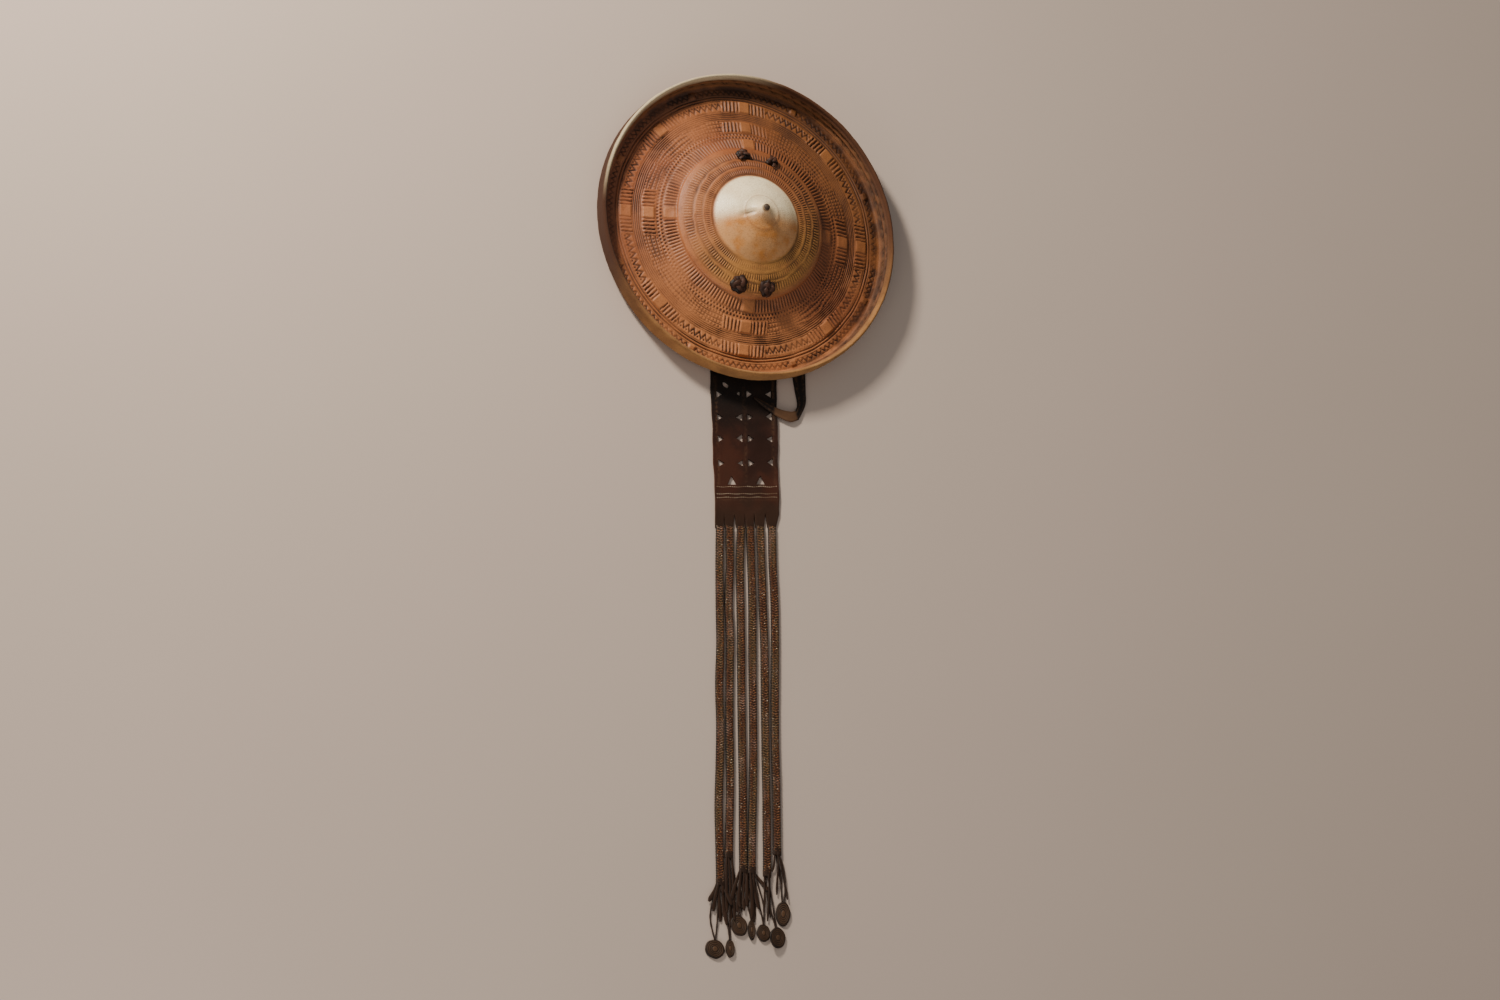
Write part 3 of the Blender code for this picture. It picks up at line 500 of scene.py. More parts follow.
@dataclass(frozen=True)
class StrapLeatherFinish:
    """Near-black strap leather with red-brown patches, tooled lines and worn edges."""

    name: str
    black: Tone = tone(20, 13, 10)
    red: Tone = tone(70, 35, 22)
    brown: Tone = tone(50, 33, 22)
    worn: Tone = tone(112, 80, 56)

    def material(self) -> Material:
        """The strap leather's procedural material."""
        nodes = FinishTree(self.name)
        patches, grain = nodes.cloud(13.0, 4.0), nodes.cloud(520.0, 3.0)
        reach = nodes.axis(1) * -1.0
        line = nodes.attribute("line")
        colour = nodes.coated(
            nodes.mix(reach.rising(0.40, 0.52), self.black, self.brown),
            (reach.between(0.35, 0.50, 0.05) * (0.35 + patches.rising(0.42, 0.6) * 0.55), self.red),
            (patches.rising(0.5, 0.75) * 0.3, self.brown),
            (line * nodes.cloud(230.0, 2.0).rising(0.35, 0.6) * 0.35, self.worn),
            (nodes.attribute("turned") * 0.6, self.worn),
            (grain.rising(0.6, 0.8) * 0.22, self.worn),
        )
        roughness = 0.50 + patches * 0.22
        pores = nodes.grain(1100.0)
        return nodes.finish(colour, roughness, grain * 0.5 + pores * 0.5 - line * 0.8, 0.00025, 0.22)


@dataclass(frozen=True)
class PlaitFinish:
    """Greased red-black plait leather: dark in its crossings and rib creases as painted shade, worn on its turns,
    with painted glints speckled over them.
    """

    dark: Tone = tone(24, 14, 9)
    red: Tone = tone(140, 90, 62)
    brown: Tone = tone(150, 118, 84)
    plum: Tone = tone(206, 166, 146)
    amber: Tone = tone(196, 124, 68)
    painted_glint: Tone = tone(250, 232, 204)

    def material(self) -> Material:
        """The plait's procedural material."""
        nodes = FinishTree("plait_finish")
        lift = nodes.attribute("lift")
        hue, worn = nodes.cloud(7.0, 3.0, (9.0, 1.0, 1.0)), nodes.cloud(16.0, 3.0, (2.0, 1.0, 1.0))
        grain = nodes.cloud(600.0, 3.0)
        turned = lift.rising(0.55, 0.9)
        colour = nodes.coated(
            nodes.mix(hue.rising(0.42, 0.58), self.red, self.brown),
            (worn.rising(0.5, 0.7) * 0.6, self.plum),
            # Painted shade: the rib creases and the low crossings between strands are darkened.
            (nodes.attribute("rib") * 0.9, self.dark),
            (lift.falling(0.45, 0.85), self.dark),
            (nodes.grain(280.0).falling(0.22, 0.34) * turned * 0.8, self.amber),
            # Painted glints: small near-white spots on the raised turns.
            (nodes.grain(170.0).falling(0.11, 0.17) * turned, self.painted_glint),
        )
        roughness = 0.38 + grain * 0.25
        return nodes.finish(colour, roughness, grain, 0.0003, 0.35)


@dataclass(frozen=True)
class DarkLeatherFinish:
    """Plain dark leather for knots, the grip, thongs and discs, rubbed paler on what stands up."""

    name: str
    dark: Tone
    body: Tone
    rubbed: Tone
    pore_scale: float = 900.0

    def material(self) -> Material:
        """The leather's procedural material."""
        nodes = FinishTree(self.name)
        patches, grain = nodes.cloud(55.0, 4.0), nodes.cloud(480.0, 3.0)
        lift = nodes.attribute("lift")
        colour = nodes.mix(patches.rising(0.35, 0.65), self.dark, self.body)
        colour = nodes.mix(lift.rising(0.55, 1.0) * (0.35 + grain * 0.5), colour, self.rubbed)
        roughness = 0.48 + patches * 0.2
        height = grain * 0.6 + nodes.grain(self.pore_scale) * 0.4
        return nodes.finish(colour, roughness, height, 0.0003, 0.3)


DARK_LEATHERS = (
    DarkLeatherFinish("thong_finish", tone(14, 8, 6), tone(34, 20, 13), tone(72, 46, 29)),
    DarkLeatherFinish("disc_finish", tone(20, 12, 8), tone(46, 30, 20), tone(104, 74, 50)),
    DarkLeatherFinish("knot_finish", tone(22, 12, 8), tone(48, 27, 18), tone(84, 50, 34)),
    DarkLeatherFinish("grip_finish", tone(44, 25, 15), tone(80, 47, 28), tone(120, 80, 50)),
)


@dataclass(frozen=True)
class ThreadFinish:
    """Pale hide thread of the stitch rows."""

    pale: Tone = tone(238, 216, 186)
    dirty: Tone = tone(160, 132, 104)

    def material(self) -> Material:
        """The thread's procedural material."""
        nodes = FinishTree("thread_finish")
        soil = nodes.cloud(70.0, 3.0)
        colour = nodes.mix(soil.rising(0.4, 0.6), self.pale, self.dirty)
        return nodes.finish(colour, soil * 0.2 + 0.6, nodes.cloud(1500.0, 2.0), 0.0001, 0.3)


@dataclass(frozen=True)
class FloorFinish:
    """Plain pale floor."""

    pale: Tone = tone(202, 184, 172)
    shade: Tone = tone(197, 179, 167)

    def material(self) -> Material:
        """The floor's procedural material."""
        nodes = FinishTree("floor_finish")
        soft = nodes.cloud(1.5, 2.0)
        colour = nodes.mix(soft, self.pale, self.shade)
        return nodes.finish(colour, soft * 0.05 + 0.85, nodes.cloud(300.0, 2.0), 0.00005, 0.2)


def smooth_line(points: np.ndarray, spacing: float) -> np.ndarray:
    """Evenly spaced points on a smooth line through given ones.

    Args:
        points: The points, one to a row.
        spacing: The distance wanted between the new points.

    Returns:
        The new points, the first and last ones kept.
    """
    ends = np.vstack([2 * points[0] - points[1], points, 2 * points[-1] - points[-2]])
    dense = [points[0]]
    for before, start, end, after in zip(ends, ends[1:], ends[2:], ends[3:]):
        knots = [0.0]
        for near, far in ((before, start), (start, end), (end, after)):
            knots.append(knots[-1] + max(float(np.linalg.norm(far - near)), 1e-9) ** 0.5)
        for share in np.linspace(0.0, 1.0, 17)[1:]:
            at = knots[1] + share * (knots[2] - knots[1])
            row = [before, start, end, after]
            for spans in (((0, 1), (1, 2), (2, 3)), ((0, 2), (1, 3)), ((1, 2),)):
                row = [
                    (here * (knots[high] - at) + there * (at - knots[low])) / (knots[high] - knots[low])
                    for here, there, (low, high) in zip(row, row[1:], spans)
                ]
            dense.append(row[0])
    line = np.array(dense)
    run = np.concatenate([[0.0], np.cumsum(np.linalg.norm(np.diff(line, axis=0), axis=1))])
    count = max(2, int(round(run[-1] / spacing)) + 1)
    wanted = np.linspace(0.0, run[-1], count)
    return np.stack([np.interp(wanted, run, line[:, axis]) for axis in range(line.shape[1])], axis=1)


def even_angles(count: int) -> list[float]:
    """Angles set out evenly round a whole turn, from 0."""
    return [TURN * index / count for index in range(count)]


def way_along(line: Sequence, index: int) -> Vector:
    """The direction in which a line runs at one of its points."""
    return Vector(line[min(len(line) - 1, index + 1)] - line[max(0, index - 1)]).normalized()


def place_item(name: str, data: bpy.types.ID) -> Item:
    """A new object with this data, in the scene."""
    item = bpy.data.objects.new(name, data)
    bpy.context.scene.collection.objects.link(item)
    return item


def add_piece(name: str, points: Iterable, faces: Iterable, numbers: dict[str, np.ndarray]) -> Item:
    """A piece at the origin from its points and faces.

    Args:
        name: The piece's name.
        points: Its points in metres.
        faces: Its faces, counter-clockwise from outside.
        numbers: Numbers to keep on its points, by name.

    Returns:
        The piece, smooth-shaded.
    """
    mesh = bpy.data.meshes.new(name)
    mesh.from_pydata([tuple(map(float, point)) for point in points], [], [tuple(face) for face in faces])
    mesh.update()
    for label, values in numbers.items():
        layer = mesh.attributes.new(label, "FLOAT", "POINT")
        layer.data.foreach_set("value", np.asarray(values, dtype=np.float32))
    mesh.polygons.foreach_set("use_smooth", [True] * len(mesh.polygons))
    return place_item(name, mesh)


def zip_faces(first: Sequence[int], second: Sequence[int]) -> list[Face]:
    """Faces between two closed rings of points, which may have different counts."""
    inner, outer = len(first), len(second)
    if inner == outer:
        return [
            (first[i], second[i], second[(i + 1) % outer], first[(i + 1) % inner]) for i in range(inner)
        ]
    faces = []
    i = j = 0
    while i < inner or j < outer:
        if j >= outer or (i < inner and (i + 1) * outer <= (j + 1) * inner):
            faces.append((first[i % inner], second[j % outer], first[(i + 1) % inner]))
            i += 1
        else:
            faces.append((first[i % inner], second[j % outer], second[(j + 1) % outer]))
            j += 1
    return faces


def fan_faces(ring: Sequence[int], tip: int, inward: bool) -> list[Face]:
    """Faces that close a ring of points onto one point."""
    count = len(ring)
    pairs = [(ring[i], ring[(i + 1) % count]) for i in range(count)]
    return [(tip, a, b) if inward else (tip, b, a) for a, b in pairs]


def skin_rings(rings: Rings) -> tuple[list[Vector], list[Face]]:
    """A closed skin through rings of equal count, with its ends closed by fans.

    Args:
        rings: The rings, each turning counter-clockwise seen from the last ring's side.

    Returns:
        The points and the faces.
    """
    points: list[Vector] = []
    indices = []
    for ring in rings:
        indices.append(list(range(len(points), len(points) + len(ring))))
        points.extend(ring)
    faces: list[Face] = []
    for first, second in zip(indices, indices[1:]):
        count = len(first)
        faces.extend((first[i], first[(i + 1) % count], second[(i + 1) % count], second[i]) for i in range(count))
    for ring, inward in ((indices[0], False), (indices[-1], True)):
        centre = sum((points[i] for i in ring), Vector()) / len(ring)
        points.append(centre)
        faces.extend(fan_faces(ring, len(points) - 1, inward))
    return points, faces


def skin_piece(name: str, rings: Rings, numbers: dict[str, Sequence[float]]) -> Item:
    """A closed piece through rings of equal count, with its faces turned outwards.

    Args:
        name: The piece's name.
        rings: The rings, from one end to the other.
        numbers: Numbers to keep on its points, by name, the two ends' middles last.

    Returns:
        The piece.
    """
    piece = add_piece(name, *skin_rings(rings), numbers)
    recalculate(piece)
    return piece


def dress(piece: Item, material: Material) -> Item:
    """Give a piece its finish and the body that it rides on."""
    if not piece.data.materials:
        piece.data.materials.append(material)
    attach(piece, "root")
    LOG.info("%s: %d faces", piece.name, len(piece.data.polygons))
    return piece


class Tooling(Enum):
    """What a band of the hide's face carries."""

    PLAIN = "plain"
    STROKES = "two rows of fine strokes"
    BARS = "bars all round with square pads"
    DOTS = "two staggered rows of dots"
    PAD_LINES = "pads with reeds, and lines that draw together"
    LINES = "concentric lines"
    PAD_CHAIN = "pads with reeds, and a zigzag chain"
    GROOVES = "two grooves"
    SMALL_PADS = "small pads and a fine zigzag"


@dataclass(frozen=True)
class Band:
    """A band of the hide's face, in millimetres: its limits, its drop, and how fine its mesh is."""

    inner: float
    outer: float
    end_level: float
    rings: int
    columns: int
    tooling: Tooling

    @property
    def middle(self) -> float:
        """The radius halfway across."""
        return (self.inner + self.outer) / 2.0


@dataclass
class Relief:
    """Tooling at each point: its height in millimetres, how far it is cut, and how far it is a pad."""

    height: NodeMaths
    cut: NodeMaths
    pad: NodeMaths

    def inside(self, mask: NodeMaths) -> "Relief":
        """The relief kept only where a mask is 1."""
        return Relief(self.height * mask, self.cut * mask, self.pad * mask)

    def joined(self, other: "Relief") -> "Relief":
        """This relief and another, which lies elsewhere."""
        return Relief(self.height + other.height, self.cut + other.cut, self.pad + other.pad)


@dataclass(frozen=True)
class TooledHide:
    """The round hide: boss, inner disc, tooled bands, turned-up rim and raw back. Sizes in millimetres."""

    bands: tuple[Band, ...] = (
        Band(78.0, 134.0, -22.5, 29, 640, Tooling.STROKES),
        Band(134.0, 135.0, -27.0, 2, 800, Tooling.PLAIN),
        Band(135.0, 156.0, -36.2, 9, 800, Tooling.BARS),
        Band(156.0, 168.0, -40.8, 10, 800, Tooling.DOTS),
        Band(168.0, 192.0, -47.4, 15, 800, Tooling.PAD_LINES),
        Band(192.0, 208.0, -50.2, 15, 260, Tooling.LINES),
        Band(208.0, 229.0, -53.2, 13, 900, Tooling.PAD_CHAIN),
        Band(229.0, 239.0, -54.9, 9, 260, Tooling.GROOVES),
        Band(239.0, 252.0, -57.0, 8, 900, Tooling.SMALL_PADS),
    )
    boss_line: Pairs = (
        (1.6, 52.8), (3.9, 52.2), (6.1, 49.3), (5.9, 46.1), (9.4, 41.3), (15.6, 35.2), (22.6, 30.7),
        (28.9, 28.4), (30.4, 28.5), (32.0, 27.0), (42.1, 22.8), (53.0, 17.0), (63.2, 10.6), (71.0, 5.0),
        (75.7, 1.3), (78.0, 0.0),
    )
    wall_line: Pairs = (
        (252.0, -57.0), (256.8, -56.0), (260.2, -52.5), (262.1, -46.1), (263.2, -38.4), (263.6, -32.0),
        (264.2, -27.2), (267.0, -25.0),
    )
    outer_line: Pairs = (
        (267.0, -25.0), (269.6, -27.4), (269.9, -42.6), (269.3, -55.0), (266.3, -60.4), (260.8, -62.4),
        (251.7, -62.9),
    )
    back_line: Pairs = (
        (251.7, -62.9), (238.2, -59.8), (228.3, -58.1), (207.2, -55.1), (190.9, -52.3), (166.5, -45.6),
        (153.6, -40.6), (131.6, -26.9), (101.3, -12.1), (73.6, -3.2), (60.5, 6.4), (39.6, 18.5), (9.0, 25.6),
    )
    boss_columns: int = 128
    wall_columns: int = 520
    edge_columns: int = 300
    back_columns: int = 160
    boss_spacing: float = 2.6
    wall_spacing: float = 1.85
    edge_spacing: float = 3.6
    back_spacing: float = 10.5
    pad_half: float = 10.0
    reed_pitch: float = 6.8
    reeds: float = 4.5
    pad_clearance: Pair = (41.0, 43.5)
    stroke_rows: Pairs = ((83.5, 91.5), (98.5, 106.5))
    fine_row: Pair = (113.5, 124.5)
    stamped_rings: Pair = (107.0, 113.0)
    disc_lines: Pairs = ((82.3, 1.1), (92.6, 1.1), (97.4, 1.1), (127.0, 1.2))
    foot_line: Pair = (79.3, 1.6)
    grooves: Pairs = ((231.6, 2.1), (236.6, 2.1))
    rim_ridges: Pairs = ((8.0, 3.0), (18.0, 3.0), (28.0, 2.6))
    strokes: float = 150.0
    bars: float = 160.0
    staggered_dots: float = 164.0
    line_dots: float = 186.0
    line_pitch: float = 7.2
    fine_line_pitch: float = 3.3
    stamped_ring_pitch: float = 2.4
    chain_links: float = 122.0
    small_pads: float = 8.0
    small_zigzags: float = 150.0
    rim_zigzags: float = 74.0

    def rows(self) -> list[tuple[float, float, int, float, float]]:
        """Rings of the mesh from the boss's tip out over the rim and back in below.

        Returns:
            For each ring its radius, its height over the foot, its column count, its distance up the rim
            wall and 1 on the face or 0 on the back.
        """
        rows = [
            (radius, level, self.boss_columns, 0.0, 1.0)
            for radius, level in smooth_line(np.array(self.boss_line), self.boss_spacing)
        ]
        start = 0.0
        disc_curve = np.polyfit((78.0, 103.2, 134.0), (0.0, -7.4, -22.5), 2)
        for band in self.bands:
            for step in range(1, band.rings + 1):
                share = step / band.rings
                radius = band.inner + (band.outer - band.inner) * share
                level = start + (band.end_level - start) * share
                if band.tooling is Tooling.STROKES:
                    level = float(np.polyval(disc_curve, radius))
                rows.append((radius, level, band.columns, 0.0, 1.0))
            start = band.end_level
        run = 0.0
        for line, columns, spacing, front in (
            (self.wall_line, self.wall_columns, self.wall_spacing, 1.0),
            (self.outer_line, self.edge_columns, self.edge_spacing, 1.0),
            (self.back_line, self.back_columns, self.back_spacing, 0.0),
        ):
            points = smooth_line(np.array(line), spacing)
            for before, point in zip(points, points[1:]):
                run += float(np.linalg.norm(point - before))
                rows.append((point[0], point[1], columns, run if front else 0.0, front))
        return rows

    def base(self) -> Item:
        """The hide without its tooling, as rings of points."""
        points: list[tuple[float, float, float]] = []
        faces: list[Face] = []
        columns: dict[str, list[float]] = {"radius": [], "angle": [], "wall": [], "front": []}
        rings: list[list[int]] = []
        for radius, level, count, wall, front in self.rows():
            rings.append(list(range(len(points), len(points) + count)))
            angles = even_angles(count)
            height = FOOT_LEVEL + level * MM
            points.extend((radius * cos(angle) * MM, radius * sin(angle) * MM, height) for angle in angles)
            columns["angle"].extend(angles)
            for label, value in (("radius", radius), ("wall", wall), ("front", front)):
                columns[label].extend([value] * count)
        for first, second in zip(rings, rings[1:]):
            faces.extend(zip_faces(first, second))
        for ring, level, front in ((rings[0], self.boss_line[0][1] + 0.2, 1.0), (rings[-1], 25.8, 0.0)):
            points.append((0.0, 0.0, FOOT_LEVEL + level * MM))
            faces.extend(fan_faces(ring, len(points) - 1, front > 0.5))
            for label, value in (("radius", 0.0), ("angle", 0.0), ("wall", 0.0), ("front", front)):
                columns[label].append(value)
        return add_piece("tooled_hide", points, faces, {name: np.array(row) for name, row in columns.items()})

    def spokes(self, turn: NodeMaths, radius: NodeMaths, count: float, shift: float = 0.0) -> NodeMaths:
        """Distance in millimetres from the nearest of many even spokes, which may be shifted by a share."""
        return (turn * count + shift).to_nearest() * (radius * (TURN / count))

    def zigzag(self, turn: NodeMaths, count: float, drift: NodeMaths, wander: float) -> NodeMaths:
        """A line that goes from -0.5 to 0.5 and back so many times in a turn, unevenly."""
        return (turn * count + drift * wander).to_nearest() * 2.0 - 0.5

    def reeded_pads(self, turn: NodeMaths, radius: NodeMaths, band: Band, pads: int) -> tuple[Relief, NodeMaths]:
        """Square pads with upright reeds at both sides.

        Args:
            turn: The share of a whole turn.
            radius: The radius in millimetres.
            band: The band that they stand in.
            pads: How many pads.

        Returns:
            The relief, and the distance along the band from the nearest pad's middle.
        """
        beside = self.spokes(turn, radius, float(pads))
        tall = radius.between(band.middle - self.pad_half, band.middle + self.pad_half, 0.7)
        pad = beside.falling(self.pad_half - 0.5, self.pad_half + 0.7) * tall
        zone = beside.between(self.pad_half + 0.9, self.pad_half + self.reeds * self.reed_pitch, 0.6) * tall
        phase = (beside - self.pad_half) / self.reed_pitch - 0.55
        reed = (phase.to_nearest() * self.reed_pitch).falling(1.3, 2.7)
        rim = beside.near(self.pad_half + 1.0, 1.1) * tall
        height = pad * 1.5 + zone * (reed * 1.5 - 0.6) - rim * 0.6
        cut = (zone * (1.0 - reed) * 0.9).most(rim)
        return Relief(height, cut, pad), beside

    def tooled(self, turn: NodeMaths, radius: NodeMaths, band: Band, drift: NodeMaths) -> Relief:
        """The tooling of one band.

        Args:
            turn: The share of a whole turn.
            radius: The radius in millimetres.
            band: The band.
            drift: A slow unevenness of the hand.

        Returns:
            Its relief, not yet kept to the band.
        """
        none = turn * 0.0
        lines = radius.near(band.inner + 0.9, 1.2).most(radius.near(band.outer - 0.9, 1.2))
        if band.tooling is Tooling.STROKES:
            spoke = self.spokes(turn, radius, self.strokes)
            fine = spoke.falling(0.6, 1.5) * radius.between(*self.fine_row, 0.8) * 0.9
            rings = ((radius - 107.5) / self.stamped_ring_pitch).to_nearest() * self.stamped_ring_pitch
            ring = rings.falling(0.4, 1.1) * radius.between(*self.stamped_rings, 0.5)
            foot = radius.near(*self.foot_line)
            cut = fine.most(ring * 0.8).most(foot)
            for row in self.stroke_rows:
                cut = cut.most(spoke.falling(0.5, 1.3) * radius.between(*row, 0.6) * 0.85)
            for line in self.disc_lines:
                cut = cut.most(radius.near(*line) * 0.7)
            return Relief(cut * -0.75 - foot * 0.6, cut, none)
        if band.tooling is Tooling.BARS:
            pad = self.spokes(turn, radius, 4.0).falling(self.pad_half - 0.5, self.pad_half + 0.7)
            bar = self.spokes(turn, radius, self.bars).falling(0.9, 2.2)
            open_field = (1.0 - pad) * radius.between(band.inner + 2.0, band.outer - 2.0, 0.6)
            cut = ((1.0 - bar) * open_field * 0.9).most(lines * 0.8)
            return Relief(pad * 1.4 + (bar * 1.3 - 0.7) * open_field - lines * 0.5, cut, pad)
        if band.tooling is Tooling.DOTS:
            cut = lines * 0.6
            for row, shift in ((-2.7, 0.0), (2.7, 0.5)):
                beside = self.spokes(turn, radius, self.staggered_dots, shift)
                cut = cut.most(beside.reach(radius - (band.middle + row)).falling(1.1, 2.3))
            return Relief(cut * -1.05, cut, none)
        if band.tooling is Tooling.PAD_LINES:
            pads, beside = self.reeded_pads(turn, radius, band, 4)
            field = beside.rising(*self.pad_clearance)
            across = (radius - band.middle) * (beside.rising(45.0, 142.0) * 0.8 + 1.0) / self.line_pitch
            line = (across.to_nearest() * self.line_pitch).falling(0.5, 1.5)
            gap = (across + 0.5).to_nearest() * self.line_pitch
            dot = self.spokes(turn, radius, self.line_dots).reach(gap).falling(0.7, 1.9)
            cut = line.most(dot) * field
            return Relief(cut * -0.9, cut, none).joined(pads)
        if band.tooling is Tooling.LINES:
            away = ((radius - band.inner) / self.fine_line_pitch).to_nearest() * self.fine_line_pitch
            line = away.falling(0.5, 1.4)
            return Relief(line * -0.9, line, none)
        if band.tooling is Tooling.PAD_CHAIN:
            pads, beside = self.reeded_pads(turn, radius, band, 8)
            field = beside.rising(*self.pad_clearance)
            zigzag = self.zigzag(turn, self.chain_links, drift, 0.10)
            chain = (((radius - band.middle) - zigzag * 10.0).size() * 0.55).falling(0.8, 1.9)
            across = (radius - (band.middle + 4.4)).size()
            dot = self.spokes(turn, radius, self.chain_links).reach(across).falling(1.0, 2.2)
            cut = chain.most(dot).most(lines) * field
            return Relief(cut * -0.85, cut, none).joined(pads)
        if band.tooling is Tooling.GROOVES:
            line = radius.near(*self.grooves[0]).most(radius.near(*self.grooves[1]))
            return Relief(line * -1.2, line, none)
        if band.tooling is Tooling.SMALL_PADS:
            beside = self.spokes(turn, radius, self.small_pads, 0.5)
            pad = beside.falling(4.6, 5.6) * radius.between(band.middle - 4.8, band.middle + 4.8, 0.6)
            zigzag = self.zigzag(turn, self.small_zigzags, drift, 0.12)
            path = ((radius - band.middle) - zigzag * 7.0).size() * 0.6
            cut = path.falling(0.6, 1.5).most(lines) * beside.rising(6.0, 7.0)
            return Relief(pad * 1.1 - cut * 0.7, cut, pad)
        return Relief(none, none, none)

    def rim_relief(self, turn: NodeMaths, wall: NodeMaths, drift: NodeMaths) -> Relief:
        """Ridges and rough zigzags on the inside of the rim."""
        inside = wall.between(3.0, 34.0, 1.2)
        ridge = wall * 0.0
        for level, width in self.rim_ridges:
            ridge = ridge.most(wall.near(drift + level, width))
        zigzag = self.zigzag(turn, self.rim_zigzags, drift, 0.12)
        stroke = (wall - 13.0 - zigzag * 7.0 - drift).size().falling(0.5, 1.6)
        upper = (wall - 23.0 + zigzag * 6.0 - drift).size().falling(0.5, 1.6)
        cut = (stroke.most(upper) * (1.0 - ridge)).least(1.0)
        return Relief((ridge * 1.6 - cut * 0.9) * inside, cut * inside, ridge * inside)

    def tooling_tree(self) -> ShapeTree:
        """The Geometry Nodes tree that tools the face, roughens the rim and dents the boss."""
        tree = ShapeTree("hide_tooling")
        strength = tree.size("Tooling strength", 1.7)
        wander = tree.size("Line wander", 1.1)
        seed = tree.size("Seed", 3.7)
        dent = tree.size("Boss dents", 1.2)
        fray = tree.size("Rim wear", 1.0)
        radius, angle = tree.attribute("radius"), tree.attribute("angle")
        wall, front = tree.attribute("wall"), tree.attribute("front")
        on_bands = radius.rising(79.0, 84.0) * wall.falling(0.2, 1.0)
        drift = tree.unevenness(26.0, seed)
        crossing = tree.unevenness(31.0, seed + 5.0)
        worked = radius + drift * wander * on_bands
        turn = angle / TURN + crossing * wander * 0.9 / (radius.most(40.0) * TURN)
        relief = Relief(turn * 0.0, turn * 0.0, turn * 0.0)
        for band in self.bands:
            mask = worked.between(band.inner, band.outer, 0.3)
            if band.tooling is not Tooling.PLAIN:
                relief = relief.joined(self.tooled(turn, worked, band, drift).inside(mask))
        wear = tree.unevenness(19.0, seed + 9.0).ramp(-0.6, 0.5, 0.35, 1.15)
        relief = relief.inside(wear * wall.falling(0.3, 1.5) * front)
        relief = relief.joined(self.rim_relief(turn, wall, drift * 1.6))
        boss = radius.falling(66.0, 78.0) * radius.rising(7.0, 16.0) * front
        hollow = tree.unevenness(24.0, seed + 2.0, 1.0)
        crease_line = (angle - pi * 1.06).size() * radius
        crease = crease_line.falling(1.0, 7.0) * radius.between(14.0, 38.0, 5.0) * 2.4
        dents = hollow * dent * boss - crease * boss
        edge = wall.rising(33.0, 38.0) * front
        ragged = (tree.unevenness(70.0, seed + 4.0, 3.0) * 0.7 + tree.unevenness(11.0, seed + 6.0) * 0.8) * fray
        body = tree.unevenness(14.0, seed + 7.0) * 0.7 * radius.rising(80.0, 130.0)
        skin = tree.unevenness(160.0, seed + 8.0, 3.0) * 0.16 * front
        raw = tree.unevenness(90.0, seed + 1.0, 3.0) * 0.35 * (1.0 - front)
        height = relief.height * strength + dents + body * wall.falling(0.0, 20.0) + skin + raw + ragged * edge
        lean = tree.size("Boss lean", 5.0) * radius.falling(0.0, 72.0) * front * MM
        tree.move(tree.along_normal(height * MM))
        tree.move(tree.join(lean * -0.4, lean, lean * 0.0))
        tree.keep("cut", relief.cut.least(1.0))
        tree.keep("pad", relief.pad.least(1.0))
        # Kept for the finish, which paints shade along the crease.
        tree.keep("fold", crease_line.falling(0.4, 3.2) * radius.between(16.0, 34.0, 6.0) * front)
        return tree

    def build(self) -> None:
        """Make the hide and put it in place of its solid."""
        piece = self.base()
        material = TooledHideFinish().material()
        self.tooling_tree().shape(piece, material)
        dress(piece, material)
        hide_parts("shield_hide")


@dataclass(frozen=True)
class StripShape:
    """A flat leather strip along a line: half its width, half its thickness, in metres."""

    half_width: float
    half_thickness: float
    corner: float = 0.35

    def section(self) -> list[Pair]:
        """The strip's section, across and up, counter-clockwise seen against its run."""
        wide, thick = self.half_width, self.half_thickness
        inner, low = wide - thick * 0.9, thick * self.corner
        return [
            (wide, -low), (wide, low), (inner, thick), (0.0, thick * 1.04), (-inner, thick), (-wide, low),
            (-wide, -low), (-inner, -thick), (0.0, -thick), (inner, -thick),
        ]

    def rings(self, line: np.ndarray, up: Vector, widths: Sequence[float]) -> list[list[Vector]]:
        """Rings of points along a line.

        Args:
            line: The strip's middle line, in metres.
            up: The direction that its flat side faces.
            widths: The share of its width at each point.

        Returns:
            The rings.
        """
        rings = []
        for index, place in enumerate(line):
            ahead = way_along(line, index)
            side = ahead.cross(up).normalized()
            top = side.cross(ahead).normalized()
            centre = Vector(place)
            rings.append([centre + side * (out * widths[index]) + top * high for out, high in self.section()])
        return rings

    def piece(self, name: str, line: np.ndarray, up: Vector, widths: Sequence[float]) -> Item:
        """The strip as a closed piece, with how far each point stands up kept on it."""
        points, faces = skin_rings(self.rings(line, up, widths))
        ring_lift = [0.9 if height >= self.half_thickness else 0.3 for _, height in self.section()]
        return add_piece(name, points, faces, {"lift": ring_lift * len(line) + [0.5, 0.5]})


def join_pieces(name: str, pieces: Sequence[Item]) -> Item:
    """Several pieces made into one.

    Args:
        name: The piece's name.
        pieces: What it is made of.

    Returns:
        The one piece.
    """
    joined = bmesh.new()
    for piece in pieces:
        joined.from_mesh(piece.data)
        mesh = piece.data
        bpy.data.objects.remove(piece)
        bpy.data.meshes.remove(mesh)
    mesh = bpy.data.meshes.new(name)
    joined.to_mesh(mesh)
    joined.free()
    return place_item(name, mesh)


